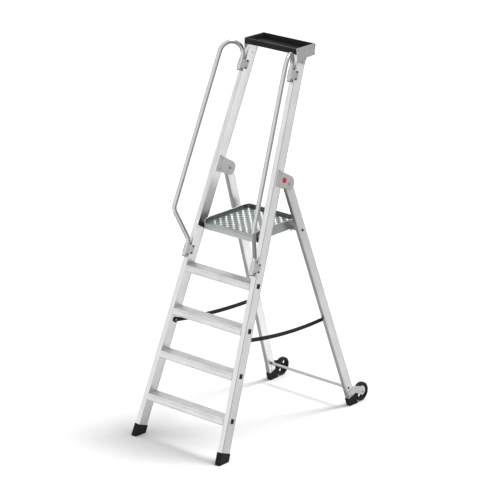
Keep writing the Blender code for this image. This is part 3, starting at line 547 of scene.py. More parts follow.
def turned(profile, start, axis, count=32, bm=None):
    """Turns (distance along the axis, radius) points about an axis from a start point."""
    axis = axis.normalized()
    side = axis.orthogonal().normalized()
    other = axis.cross(side)
    bm = bm or bmesh.new()
    rings = []
    for along, radius in profile:
        middle = start + axis * along
        if radius == 0:
            rings.append(ring(bm, [middle]))
            continue
        points = []
        for i in range(count):
            turn = 2 * pi * i / count
            points.append(middle + (side * cos(turn) + other * sin(turn)) * radius)
        rings.append(ring(bm, points))
    for first, second in zip(rings, rings[1:]):
        if len(first) == 1 or len(second) == 1:
            tip, base = (first, second) if len(first) == 1 else (second, first)
            for i in range(count):
                bm.faces.new((tip[0], base[i], base[(i + 1) % count]))
        else:
            bridge(bm, first, second)
    if len(rings[0]) > 1:
        bridge(bm, rings[-1], rings[0])
    return bm


def rod(start, end, radius, count=24, bm=None):
    axis = end - start
    profile = [(0, 0), (0, radius), (axis.length, radius), (axis.length, 0)]
    return turned(profile, start, axis, count, bm)


def rivet(bm, place, axis, radius, height=0.0016):
    """A domed rivet head on a flat face."""
    profile = [(-0.0004, 0), (-0.0004, radius), (height * 0.25, radius), (height * 0.65, radius * 0.78),
               (height * 0.9, radius * 0.42), (height, 0)]
    turned(profile, place, axis, 18, bm)


def bolt(bm, place, axis, radius, height):
    """A hexagon head on a round washer."""
    wide = radius * 1.35
    washer = [(-0.0004, 0), (-0.0004, wide), (0.0009, wide), (0.0012, wide * 0.95), (0.0012, 0)]
    turned(washer, place, axis, 24, bm)
    head = [(0.001, 0), (0.001, radius), (height * 0.8, radius), (height, radius * 0.86), (height, 0)]
    turned(head, place, axis, 6, bm)


def bend(points, radius, count):
    """Rounds each inner corner of a flat route of (x, y) points."""
    route = [Vector(points[0])]
    for before, corner, after in zip(points, points[1:], points[2:]):
        corner = Vector(corner)
        back = (Vector(before) - corner).normalized()
        on = (Vector(after) - corner).normalized()
        half = back.angle(on) / 2
        middle = corner + (back + on).normalized() * (radius / sin(half))
        first = corner + back * (radius / tan(half)) - middle
        last = corner + on * (radius / tan(half)) - middle
        start = atan2(first.y, first.x)
        sweep = (atan2(last.y, last.x) - start + pi) % (2 * pi) - pi
        for i in range(count + 1):
            turn = start + sweep * i / count
            route.append(middle + Vector((cos(turn), sin(turn))) * radius)
    route.append(Vector(points[-1]))
    return route


def pipe(route, normal, radius, wall, count=28):
    """A tube along a flat route whose plane has this normal, open at both ends."""
    bm = bmesh.new()
    loops = {radius: [], radius - wall: []}
    for i, point in enumerate(route):
        before = (point - route[max(i - 1, 0)]).normalized()
        after = (route[min(i + 1, len(route) - 1)] - point).normalized()
        across = (before + after).normalized().cross(normal)
        for size, rings in loops.items():
            points = []
            for j in range(count):
                turn = 2 * pi * j / count
                points.append(point + (normal * cos(turn) + across * sin(turn)) * size)
            rings.append(ring(bm, points))
    outer, inner = loops.values()
    skin(bm, outer + inner[::-1], True)
    return bm


def soften(bm, width, segments=2):
    """Rounds the sharp edges."""
    edges = [e for e in bm.edges if len(e.link_faces) == 2 and e.calc_face_angle(0) > radians(38)]
    bmesh.ops.bevel(bm, geom=edges, offset=width, segments=segments, profile=0.5,
                    affect="EDGES", clamp_overlap=True)
    return bm


def as_object(name, bm):
    bmesh.ops.recalc_face_normals(bm, faces=bm.faces)
    mesh = bpy.data.meshes.new(name)
    bm.to_mesh(mesh)
    bm.free()
    made = bpy.data.objects.new(name, mesh)
    bpy.context.scene.collection.objects.link(made)
    return made


def carve(bm, cutters):
    """The bmesh less the cutters."""
    target = as_object("carved", bm)
    helpers = [as_object("cutter", cutter) for cutter in cutters]
    for helper in helpers:
        cut = target.modifiers.new("cut", "BOOLEAN")
        cut.operation = "DIFFERENCE"
        cut.object = helper
    bpy.context.view_layer.update()
    result = bmesh.new()
    result.from_object(target, bpy.context.evaluated_depsgraph_get())
    for gone in [target] + helpers:
        mesh = gone.data
        bpy.data.objects.remove(gone, do_unlink=True)
        bpy.data.meshes.remove(mesh)
    bmesh.ops.remove_doubles(result, verts=result.verts, dist=0.00001)
    return result


def piece(name, bm, look, body, axes=UPRIGHT, replaces=(), sharp=50):
    """Turns a bmesh in world space into a piece that rides a body."""
    made = as_object(name, bm)
    mesh = made.data
    mesh.shade_smooth()
    mesh.set_sharp_from_angle(angle=radians(sharp))
    grain = mesh.attributes.new("grain", "FLOAT_VECTOR", "POINT")
    for vert, value in zip(mesh.vertices, grain.data):
        value.vector = axes.grain(vert.co)
    mesh.materials.append(LOOKS[look])
    if body:
        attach(made, body)
    if replaces:
        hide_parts(*replaces)
    return made


def rebuild(node, bm, look, body, axes=UPRIGHT, sharp=50):
    """A piece that takes the place of one CAD node."""
    return piece("visual_" + node, bm, look, body, axes, [node], sharp)


def stile_point(side, y, z, out):
    """The point at (y, z) on the plane this far out from the stile's middle."""
    axes = STILES[side]
    return on_plane(world(0, y, z), ACROSS, *axes.side(out))


def leg_point(side, y, z, out):
    axes = LEGS[side]
    return on_plane(world(0, y, z), ACROSS, *axes.side(out))


# Front ladder

def make_stiles():
    """Extruded profiles with a fine groove beside each edge of the side faces."""
    notches = [("outer", 0.0055, 0.0026, 0.0011), ("outer", 0.064, 0.0018, 0.0006),
               ("inner", 0.064, 0.0018, 0.0006)]
    outer = notched(STILE_WIDTH, STILE_DEPTH, CORNER_RADIUS, notches)
    inner = notched(STILE_WIDTH, STILE_DEPTH, CORNER_RADIUS, notches, 0.0, STILE_WALL)
    for name, side in SIDES:
        axes = STILES[side]
        ends = [axes.cut(FRONT_SOLE + GAP), (world(0, 0, STILE_TOP_Z), UP)]
        bm = prism(outer, axes.flat, axes.up, ends, inner)
        made = rebuild("stile_" + name, bm, "aluminium", FRONT, axes, 30)
        # The grooves take a darker metal: painted shade.
        darken_grooves(made, outer, STILE_WIDTH, STILE_DEPTH, "groove")


def make_treads():
    """Level hollow profiles with a ribbed top, a nose line and slanting front and back."""
    ribs = [("back", -0.0285 + 0.0057 * i, 0.0026, 0.0013) for i in range(11)]
    lines = ribs + [("inner", TREAD_HEIGHT - 0.0085, 0.0016, 0.001), ("inner", 0.0045, 0.0016, 0.0008),
                    ("outer", TREAD_HEIGHT - 0.0085, 0.0016, 0.001)]
    outer = notched(TREAD_DEPTH, TREAD_HEIGHT, CORNER_RADIUS, lines)
    inner = notched(TREAD_DEPTH, TREAD_HEIGHT, CORNER_RADIUS, lines, 0.0, 0.0024)
    ends = [STILES[side].side(-STILE_WIDTH / 2 - GAP) for _, side in SIDES]
    for step in range(1, STEP_COUNT + 1):
        low = step * STEP_RISE + TREAD_ABOVE_RISE - TREAD_HEIGHT

        def place(out, back):
            z = low + back
            return world(0, out + TREAD_DEPTH / 2 + LEAN * z, z)

        bm = prism(outer, place, ACROSS, ends, inner)
        made = rebuild(f"tread_{step}", bm, "tread", FRONT, CROSSWISE, 30)
        # The grooves take a darker metal: painted shade.
        darken_grooves(made, outer, TREAD_DEPTH, TREAD_HEIGHT, "tread_groove")
        make_plugs(step)


def make_plugs(step):
    along = (step * STEP_RISE + TREAD_ABOVE_RISE - PLUG_DROP) / STILES[1].up.z
    middle = STILE_DEPTH * 0.56
    wide, tall = PLUG_SIZE
    for name, side in SIDES:
        axes = STILES[side]
        bm = bmesh.new()
        rings = []
        for inset, height in PLUG_RINGS:
            low = (middle - wide / 2 + inset, along - tall / 2 + inset)
            high = (middle + wide / 2 - inset, along + tall / 2 - inset)
            loop = rounded(low, high, max(0.004 - inset, 0.001))
            face = STILE_WIDTH / 2 + GAP + height
            rings.append(ring(bm, [axes.at(face, back, up) for back, up in loop]))
        skin(bm, rings)
        piece(f"visual_plug_{name}_{step}", bm, "black_plastic", FRONT, axes,
              [f"tread_plug_{name}_{step}"])


def boot(outer, inner, axes, rings, floor):
    """A boot from (outline options, plane) rings up to its rim, and a pocket to the floor."""
    bm = bmesh.new()

    def level(points, plane):
        return ring(bm, [on_plane(axes.flat(*p), axes.up, *plane) for p in points])

    made = [level(outer(*options), plane) for options, plane in rings]
    made += [level(inner, rings[-1][1]), level(inner, floor)]
    skin(bm, made)
    return bm


def boot_rings(axes, sole, top, rim):
    """Rings level with the floor from (deepen, inset, height), then rings across the member from
    (deepen, inset, distance below the top)."""
    rings = [((deepen, inset), (world(0, 0, z), UP)) for deepen, inset, z in sole]
    return rings + [((deepen, inset), axes.cut(top - below)) for deepen, inset, below in rim]


def make_front_feet():
    depth = STILE_DEPTH + FOOT_SIDE_WALL + FRONT_FOOT_BACK_WALL
    notches = [("outer", 0.012, 0.003, 0.0012), ("outer", 0.066, 0.003, 0.0012),
               ("inner", 0.012, 0.003, 0.0012), ("inner", 0.066, 0.003, 0.0012)]
    width = STILE_WIDTH + 2 * FOOT_SIDE_WALL

    def outer(deepen, inset):
        points = notched(width, depth, 0.005, notches, deepen, inset)
        return [(out, back - FOOT_SIDE_WALL) for out, back in points]

    inner = [(out, back - GAP) for out, back in
             notched(STILE_WIDTH + 2 * GAP, STILE_DEPTH + 2 * GAP, CORNER_RADIUS, notches, 0.0)]
    for name, side in SIDES:
        axes = STILES[side]
        rings = boot_rings(axes, SOLE + [
            (0.0, 0.0, 0.0075), (0.0, 0.001, 0.008), (0.0, 0.001, 0.0095), (0.0, 0.0, 0.01),
        ], FRONT_FOOT_LENGTH, [(0.0, 0.0, 0.026), (1.0, 0.0, 0.024), (1.0, 0.0, 0.008),
                               (0.0, 0.0, 0.006)] + BOOT_RIM)
        bm = boot(outer, inner, axes, rings, axes.cut(FRONT_SOLE))
        rebuild("front_foot_" + name, bm, "rubber", FRONT, axes, 40)


def hinge_outline():
    nose = (HINGE_BEHIND, HINGE_ALONG)
    outline = [(0.02, HINGE_ALONG - 0.033), (0.116, HINGE_ALONG - 0.035)]
    outline += arc(nose, HINGE_NOSE_RADIUS, -70, 74, 24)
    outline += [(0.075, HINGE_ALONG + 0.051), (0.02, HINGE_ALONG + 0.06)]
    return outline


def make_hinges():
    """The hinge plates with their rivets and the plain cap on the right plate."""
    rivets = ((0.0255, 1.654), (0.045, 1.64), (0.044, 1.58))
    for name, side in SIDES:
        axes = STILES[side]
        face = STILE_WIDTH / 2 + GAP
        for place, near in (("outer", face), ("inner", -face - HINGE_PLATE)):
            bm = soften(plate(hinge_outline(), axes, near, near + HINGE_PLATE), 0.0007)
            node = f"hinge_plate_{name}_{place}"
            rebuild(node, bm, "plate", FRONT, axes)
            bm = bmesh.new()
            for back, up in rivets:
                out = near + HINGE_PLATE if place == "outer" else near
                rivet(bm, axes.at(out, back, up), axes.out * (1 if place == "outer" else -1), 0.0042)
            piece(f"hinge_rivets_{name}_{place}", bm, "rivet", FRONT, axes)
    axes = STILES[1]
    start = axes.at(STILE_WIDTH / 2 + 2 * GAP + HINGE_PLATE, 0.084, HINGE_ALONG + 0.01)
    size = HINGE_CAP_RADIUS
    profile = [(0, 0), (0, size), (0.0012, size), (0.002, size - 0.0012), (0.002, size - 0.003),
               (0.0015, size - 0.0036), (0.0015, size - 0.005), (0.0026, size - 0.0075),
               (0.003, 0.003), (0.003, 0)]
    rebuild("hinge_cap", turned(profile, start, axes.out, 48), "red_plastic", FRONT, axes)


def rail_route(axes):
    """The hand rail's centre line from its lower end up over the hook to its upper tip."""
    forward = -axes.back * cos(RAIL_SPLAY) + axes.out * sin(RAIL_SPLAY)
    corners = [(0, RAIL_FOOT), (0, RAIL_LOW_BEND), (RAIL_REACH, RAIL_KNEE), (RAIL_REACH, RAIL_HOOK)]
    flat = bend(corners, RAIL_BEND_RADIUS, 10)
    half = RAIL_REACH / 2
    flat += [Vector(point) for point in arc((half, RAIL_HOOK), half, 0, 180, 32)[1:]]
    flat.append(Vector((0, RAIL_TIP)))
    route = [axes.at(0, RAIL_BACK, point.y) + forward * point.x for point in flat]
    return route, forward.cross(axes.up).normalized()


def clamp_section():
    """The clamp's closed section in (out, back): round the rail and along the stile's sides."""
    face = STILE_WIDTH / 2 + GAP
    inside = arc((0, RAIL_BACK), RAIL_RADIUS + GAP, -90, 0, 12)
    inside += [(face, -0.002), (face, CLAMP_FLANGE)]
    outside = arc((0, RAIL_BACK), RAIL_RADIUS + GAP + CLAMP_SHEET, -90, 0, 12)
    outside += [(face + CLAMP_SHEET, -0.002), (face + CLAMP_SHEET, CLAMP_FLANGE)]
    far_inside, far_outside = ([(-x, y) for x, y in half[1:]] for half in (inside, outside))
    return inside[::-1] + far_inside + far_outside[::-1] + outside


def make_rails():
    section = clamp_section()
    for name, side in SIDES:
        axes = STILES[side]
        route, normal = rail_route(axes)
        bm = pipe(route, normal, RAIL_RADIUS, RAIL_WALL)
        rebuild("handrail_" + name, bm, "polished_tube", FRONT, axes)
        for end, place, on in (("lower", route[0], route[1]), ("upper", route[-1], route[-2])):
            axis = (place - on).normalized()
            bore = RAIL_RADIUS - RAIL_WALL - 0.0008
            size, far = RAIL_RADIUS, CAP_LENGTH
            profile = [(-0.012, 0), (-0.012, bore), (GAP, bore), (GAP, size), (far - 0.0014, size),
                       (far - 0.0004, size - 0.0008), (far, size - 0.002), (far, 0)]
            node = f"rail_cap_{name}_{end}"
            rebuild(node, turned(profile, place, axis), "dark_plastic", FRONT, axes)
        for end, along in zip(("lower", "upper"), CLAMP_ALONG):
            ends = [axes.cut(along + part * CLAMP_HEIGHT / 2) for part in (-1, 1)]
            bm = prism(section, axes.flat, axes.up, ends)
            node = f"rail_clamp_{name}_{end}"
            rebuild(node, soften(bm, 0.0006), "plate", FRONT, axes, 35)
            bm = bmesh.new()
            face = STILE_WIDTH / 2 + GAP + CLAMP_SHEET
            for part in (-1, 1):
                for way in (-1, 1):
                    place = axes.at(way * face, 0.012, along + part * CLAMP_BOLT_ALONG)
                    bolt(bm, place, axes.out * way, 0.0042, 0.004)
            piece(f"clamp_bolts_{name}_{end}", bm, "dark_steel", FRONT, axes)
            bm = bmesh.new()
            for part in (-1, 1):
                middle = along + part * CLAMP_BOLT_ALONG
                spacer_ends = [axes.cut(middle + lift) for lift in (-0.004, 0.004)]
                near = RAIL_BACK + 0.009
                outline = [(-0.011, near), (0.011, near), (0.0135, -GAP), (-0.0135, -GAP)]
                prism(outline, axes.flat, axes.up, spacer_ends, None, bm)
            piece(f"clamp_spacers_{name}_{end}", bm, "dark_plastic", FRONT, axes)


def make_tray():
    """The black box, open at the top with a rolled edge, between two light end plates."""
    def block(inset, low, high, end_inset=None):
        front, back = TRAY_FRONT_Y + inset, TRAY_BACK_Y - inset
        section = [(front, high), (front, low), (back, low), (back, high)]
        out = STILE_WIDTH / 2 - inset
        ends = [STILES[side].side(out) for _, side in SIDES]
        if end_inset is not None:
            ends = []
            for _, side in SIDES:
                stile = STILES[side]
                limit = stile.at(STILE_WIDTH / 2 - end_inset, 0, 0)
                corner = on_plane(world(0, TRAY_BACK_Y, TRAY_TOP_Z), ACROSS, limit, stile.out)
                ends.append((corner, Vector((stile.out.x, stile.out.y, 0))))
        return prism(section, lambda y, z: world(0, y, z), ACROSS, ends)

    rim = TRAY_TOP_Z - 0.0035
    wall = TRAY_WALL + 0.0005
    pocket = block(wall, TRAY_BOTTOM_Z + TRAY_WALL, rim + 0.02, wall)
    bm = carve(block(0.0012, TRAY_BOTTOM_Z, rim), [pocket])
    rebuild("tool_tray", soften(bm, 0.001), "tray_plastic", FRONT, CROSSWISE)
    bm = carve(block(0.0, rim + 0.0001, TRAY_TOP_Z), [block(wall, rim - 0.01, TRAY_TOP_Z + 0.01, wall)])
    # Its lighter black is a painted highlight along the rim.
    piece("tray_rolled_edge", soften(bm, 0.001), "tray_edge_highlight", FRONT, CROSSWISE)
    for name, side in SIDES:
        make_tray_end(name, side)


def make_tray_end(name, side):
    """The end plate, which closes the tray's end and runs down the stile's outer face."""
    axes = STILES[side]
    face = STILE_WIDTH / 2 + GAP
    corners = [
        (TRAY_FRONT_Y - 0.003, TRAY_TOP_Z + 0.001), (TRAY_FRONT_Y - 0.003, TRAY_BOTTOM_Z - 0.003),
        (LEAN * 2.1 + 0.006, 2.1), (LEAN * 2.076 + 0.07, 2.076), (0.882, 2.113), (0.954, 2.1145),
        (TRAY_BACK_Y + 0.003, TRAY_TOP_Z - 0.003), (TRAY_BACK_Y, TRAY_TOP_Z + 0.001),
    ]
    ends = [axes.side(out) for out in (face, face + TRAY_PLATE)]
    bm = soften(prism(corners, lambda y, z: world(side * 0.19, y, z), ACROSS, ends), 0.0007)
    rebuild("tray_end_" + name, bm, "plate", FRONT, axes)
    bm = bmesh.new()
    for y, z in ((0.956, 2.168), (0.9486, 2.122), (0.873, 2.11), (0.815, 2.168), (0.846, 2.098)):
        rivet(bm, stile_point(side, y, z, face + TRAY_PLATE), axes.out, 0.0036)
    for y, z in ((0.872, 2.107), (0.836, 2.0885)):
        rivet(bm, stile_point(side, y, z, -STILE_WIDTH / 2), -axes.out, 0.0034)
    piece("tray_rivets_" + name, bm, "dark_steel", FRONT, axes)


def make_pads():
    face = STILE_WIDTH / 2 + GAP
    near, far = 0.001, STILE_DEPTH - 0.002
    outline = [
        (near, PIVOT_ALONG - PAD_DROP[0]), (far * 0.7, PIVOT_ALONG - PAD_DROP[1]),
        (far, PIVOT_ALONG - PAD_DROP[1]), (far, PIVOT_ALONG + PAD_RISE),
        (near, PIVOT_ALONG + PAD_RISE),
    ]
    for name, side in SIDES:
        axes = STILES[side]
        middle = platform_pin(side)
        reach = ACROSS * 0.05
        hole = rod(middle - reach, middle + reach, PAD_BORE)
        bm = carve(plate(outline, axes, -face - PAD_THICKNESS, -face), [hole])
        rebuild("platform_pad_" + name, soften(bm, 0.0009), "black_plastic", FRONT, axes)


def platform_pin(side):
    return STILES[side].at(-STILE_WIDTH / 2, STILE_DEPTH / 2, PIVOT_ALONG)


# Rear frame

def make_legs():
    deep = LEG_DEPTH / 2
    notches = [("outer", 0.005, 0.0018, 0.0006), ("outer", 0.052, 0.0018, 0.0006),
               ("inner", 0.005, 0.0018, 0.0006), ("inner", 0.052, 0.0018, 0.0006)]
    outer = [(out, back - deep) for out, back in notched(LEG_WIDTH, LEG_DEPTH, CORNER_RADIUS, notches)]
    inner = [(out, back - deep) for out, back in
             notched(LEG_WIDTH, LEG_DEPTH, CORNER_RADIUS, notches, 0.0, LEG_WALL)]
    for name, side in SIDES:
        axes = LEGS[side]
        bottom = leg_at_height(axes, 0) + REAR_SOLE + GAP
        ends = [axes.cut(bottom), axes.cut(deep * 0.8)]
        bm = prism(outer, axes.flat, axes.up, ends, inner)
        reach = ACROSS * 0.03
        support = axes.at(0, 0, leg_at_height(axes, SUPPORT_Z))
        holes = [rod(axes.origin - reach, axes.origin + reach, PIVOT_RADIUS + RUNNING_GAP),
                 rod(support - reach, support + reach, SUPPORT_BOLT_BORE)]
        rebuild("rear_leg_" + name, carve(bm, holes), "leg_aluminium", REAR, axes, 30)


def make_stretcher():
    """The low cross tube: round in the middle, pressed flat where it is bolted to the legs."""
    ends = []
    for _, side in SIDES:
        axes = LEGS[side]
        ends.append(axes.at(-LEG_WIDTH / 2 - 0.0008, 0, leg_at_height(axes, STRETCHER_Z)))
    long = (ends[1] - ends[0]).length / 2
    middle = (ends[0] + ends[1]) / 2
    bm = bmesh.new()
    stations = []
    for at in range(9):
        share = (1 - cos(pi * at / 8)) / 2
        thick = 0.003 + (STRETCHER_RADIUS - 0.003) * share
        tall = 0.011 + (STRETCHER_RADIUS - 0.011) * share
        stations.append((-long + STRETCHER_TAB * (1 + at / 8), thick, tall))
    stations.insert(0, (-long, 0.003, 0.011))
    stations += [(-at, thick, tall) for at, thick, tall in reversed(stations)]
    rings = []
    for at, thick, tall in stations:
        points = []
        for i in range(24):
            turn = 2 * pi * i / 24
            points.append(middle + Vector((at, thick * cos(turn), tall * sin(turn))))
        rings.append(ring(bm, points))
    skin(bm, rings)
    rebuild("stretcher_tube", bm, "thin_tube", REAR, CROSSWISE)
    bm = bmesh.new()
    for _, side in SIDES:
        axes = LEGS[side]
        along = leg_at_height(axes, STRETCHER_Z + 0.001)
        bolt(bm, axes.at(LEG_WIDTH / 2, -0.004, along), axes.out, 0.0048, 0.005)
        bolt(bm, axes.at(-LEG_WIDTH / 2, 0.012, along - 0.02), -axes.out, 0.004, 0.004)
        bolt(bm, axes.at(-LEG_WIDTH / 2 - 0.0066, 0.0, along), -axes.out, 0.0058, 0.0036)
    piece("stretcher_bolts", bm, "dark_steel", REAR)


def make_rear_feet():
    deep = LEG_DEPTH / 2
    wall = REAR_FOOT_WALL
    width, depth = LEG_WIDTH + 2 * FOOT_SIDE_WALL, LEG_DEPTH + 2 * wall
    notches = []
    for face in ("outer", "inner"):
        notches += [(face, place, 0.008, 0.0016) for place in (0.015, 0.033, 0.051)]
    notches += [("front", 0.0, 0.008, 0.0014), ("back", 0.0, 0.008, 0.0014)]

    def outer(deepen, inset):
        points = notched(width, depth, 0.004, notches, deepen, inset)
        return [(out, back - deep - wall) for out, back in points]

    inner = [(out, back - deep - GAP) for out, back in
             notched(LEG_WIDTH + 2 * GAP, LEG_DEPTH + 2 * GAP, CORNER_RADIUS, notches, 0.0)]
    for name, side in SIDES:
        axes = LEGS[side]
        ground = leg_at_height(axes, 0)
        rim = ground + REAR_FOOT_LENGTH
        rings = boot_rings(axes, SOLE + [(0.0, 0.0, 0.006), (1.0, 0.0, 0.008)], rim,
                           [(1.0, 0.0, 0.013), (0.0, 0.0, 0.011)] + BOOT_RIM)
        bm = boot(outer, inner, axes, rings, axes.cut(ground + REAR_SOLE))
        rebuild("rear_foot_" + name, bm, "rubber", REAR, axes, 40)


def wheel_centre(side):
    axes = LEGS[side]
    outer = axes.at(LEG_WIDTH / 2, 0, leg_at_height(axes, WHEEL_Z))
    start = world(outer.x, WHEEL_Y, WHEEL_Z)
    face = start + axes.out * ((outer - start).dot(axes.out))
    return face - axes.out * (WHEEL_WIDTH / 2 + 0.0015)


def make_wheel_plate(name, side):
    axes = LEGS[side]
    face = LEG_WIDTH / 2 + GAP
    centre = wheel_centre(side) - axes.origin
    back, up = centre.dot(axes.back), centre.dot(axes.up)
    ground = leg_at_height(axes, 0)
    deep = LEG_DEPTH / 2
    low = ground + REAR_FOOT_LENGTH + 0.0025
    outline = [(0.003 - deep, low), (deep + REAR_FOOT_WALL + 0.0015, low)]
    outline += arc((back - 0.003, up + 0.01), WHEEL_PLATE_NOSE, -110, 80, 20)
    outline += [(deep, ground + 0.111), (0.003 - deep, ground + 0.104)]
    bm = soften(plate(outline, axes, face, face + WHEEL_PLATE), 0.0007)
    rebuild("wheel_plate_" + name, bm, "plate", REAR, axes)
    bm = bmesh.new()
    for y, z in ((1.143, 0.096), (1.166, 0.101), (1.138, 0.066), (1.16, 0.064), (1.148, 0.06)):
        rivet(bm, leg_point(side, y, z, face + WHEEL_PLATE), axes.out, 0.004)
    for y, z in ((1.149, 0.089), (1.155, 0.0655)):
        rivet(bm, leg_point(side, y, z, -LEG_WIDTH / 2), -axes.out, 0.004, 0.003)
    piece("wheel_plate_rivets_" + name, bm, "rivet", REAR, axes)


def make_wheel(name, side):
    """A dished disc with four holes and a rubber tyre, both shaped by turning."""
    axes = LEGS[side]
    middle = wheel_centre(side)
    half = WHEEL_WIDTH / 2
    body = "wheel_" + name
    rim, bore = RIM_RADIUS, AXLE_RADIUS + RUNNING_GAP
    hub = [
        (-half, bore), (-half, 0.011), (0.001 - half, 0.012), (0.0085 - half, 0.013),
        (0.0095 - half, 0.0145), (0.0095 - half, rim - 0.0074), (0.007 - half, rim - 0.0062),
        (0.0024 - half, rim - 0.0056), (0.0018 - half, rim - 0.0045),
        (0.0018 - half, rim - 0.0006), (0.0024 - half, rim),
    ]
    hub += [(-along, radius) for along, radius in reversed(hub)]
    holes = []
    for i in range(SPOKE_HOLES):
        turn = radians(55) + 2 * pi * i / SPOKE_HOLES
        around = Vector((0, cos(turn), sin(turn)))
        around = (around - axes.out * around.dot(axes.out)).normalized()
        place = middle + around * SPOKE_HOLE_CIRCLE
        holes.append(rod(place - axes.out * 0.02, place + axes.out * 0.02, SPOKE_HOLE_RADIUS, 28))
    bm = carve(turned(hub, middle, axes.out, 64), holes)
    rebuild("wheel_hub_" + name, bm, "black_plastic", body, axes, 35)
    inner, outer = rim + GAP, WHEEL_RADIUS - 0.0003
    tyre = [(-half, inner), (-half, inner + 0.0025), (-half, outer - 0.006)]
    for i in range(1, 8):
        turn = radians(90 * i / 7)
        tyre.append((-half + 0.0055 * (1 - cos(turn)), outer - 0.0055 * (1 - sin(turn))))
    for place in (-0.0035, 0.0035):
        tyre += [(place - 0.0006, outer), (place, outer - 0.0007), (place + 0.0006, outer)]
    tyre += [(-along, radius) for along, radius in reversed(tyre[:10])]
    rebuild("wheel_tyre_" + name, turned(tyre, middle, axes.out, 80), "tyre", body, axes, 35)


# Platform

def rim_path():
    """The rim's outer face in plan, from the front left corner round the back to the front right."""
    wide, corner = DECK_HALF_WIDTH, DECK_CORNER
    front = FRONT_CORNER
    path = []
    for x, y in arc((front - wide, DECK_FRONT_Y + front), front, 235, 180, 8):
        path.append((x, y))
    run = DECK_BACK_Y - corner - DECK_FRONT_Y - front
    for i in range(1, 12):
        path.append((-wide, DECK_FRONT_Y + front + run * i / 12))
    path += arc((corner - wide, DECK_BACK_Y - corner), corner, 180, 90, 14)
    return path + [(-x, y) for x, y in reversed(path)]


def make_rim():
    """The rim and skirt on the deck's sides and back, with a rolled top and sloping front ends."""
    path = [Vector(point) for point in rim_path()]
    bm = bmesh.new()
    rings = []
    run = 0.0
    total = sum((b - a).length for a, b in zip(path, path[1:]))
    for i, point in enumerate(path):
        if i:
            run += (point - path[i - 1]).length
        ahead = path[min(i + 1, len(path) - 1)] - path[max(i - 1, 0)]
        inward = Vector((ahead.y, -ahead.x)).normalized()
        near = min(run, total - run) / 0.04
        rise = (1 - (1 - min(near, 1.0)) ** 2) ** 0.5
        top = DECK_Z - 0.004 + (RIM_TOP_Z - DECK_Z + 0.004) * rise
        section = [(0.0, SKIRT_Z + 0.0006), (0.0, top - 0.003), (0.0004, top - 0.001), (0.0016, top),
                   (0.0034, top), (0.0046, top - 0.001), (0.005, top - 0.0026), (0.0044, top - 0.004),
                   (DECK_SHEET, top - 0.005), (DECK_SHEET, SKIRT_Z + 0.0006),
                   (DECK_SHEET - 0.0007, SKIRT_Z), (0.0007, SKIRT_Z)]
        points = []
        for depth, z in section:
            spot = point + inward * depth
            points.append(world(spot.x, spot.y, z))
        rings.append(ring(bm, points))
    skin(bm, rings)
    return bm


def make_lip():
    """The rolled front lip, which turns down in a bend and stops at the side rims."""
    low = SKIRT_Z - 0.0035
    front = DECK_FRONT_Y + 0.0006
    turn = (front + LIP_RADIUS, DECK_Z - LIP_RADIUS)
    outer = [(front, low + 0.0008)] + arc(turn, LIP_RADIUS, 180, 90, 8)
    outer.append((PANEL_FRONT_Y + 0.001, DECK_Z))
    inner = [(PANEL_FRONT_Y + 0.001, DECK_Z - DECK_SHEET)]
    inner += arc(turn, LIP_RADIUS - DECK_SHEET, 90, 180, 8)
    inner += [(front + DECK_SHEET, low + 0.0008), (front + DECK_SHEET - 0.0008, low),
              (front + 0.0008, low)]
    bm = bmesh.new()
    rings = []
    half = DECK_HALF_WIDTH - DECK_SHEET - 0.0004
    corner = FRONT_CORNER
    for step in range(-8, 9):
        side = -1 if step < 0 else 1
        if abs(step) == 8:
            x, set_back = half, corner * 0.62
        else:
            turn_by = radians(90 * max(abs(step) - 2, 0) / 6)
            x = half - corner * (1 - sin(turn_by)) if abs(step) > 2 else (half - corner) * abs(step) / 2
            set_back = corner * (1 - cos(turn_by)) * 0.62
        points = []
        for y, z in outer + inner:
            shift = set_back if y < PANEL_FRONT_Y - 0.002 else 0
            points.append(world(side * x, y + shift, z))
        rings.append(ring(bm, points))
    skin(bm, rings)
    return bm


def make_floor_frame():
    """The flat margin of the floor between the perforated field and the rim."""
    sheet = DECK_SHEET
    wide, back = DECK_HALF_WIDTH - sheet - 0.0002, DECK_BACK_Y - sheet - 0.0002
    corner = DECK_CORNER - sheet
    half = CELL * CELLS_ACROSS / 2
    depth = CELL * CELLS_DEEP
    front = PANEL_FRONT_Y
    outline = arc((wide - corner, back - corner), corner, 0, 90, 8)
    outline += arc((corner - wide, back - corner), corner, 90, 180, 8)
    outline += arc((0.001 - wide, front + 0.003), 0.001, 180, 270, 8)
    outline += arc((wide - 0.001, front + 0.003), 0.001, 270, 360, 8)
    tiny = 0.0005
    near = front + FIELD_INSET
    hollow = rounded((-half, near), (half, near + depth), tiny, 8)
    ends = [(Vector((0, 0, z)), UP) for z in (DECK_Z, DECK_Z - sheet)]
    return prism(outline, lambda x, y: world(x, y, 0), UP, ends, hollow)


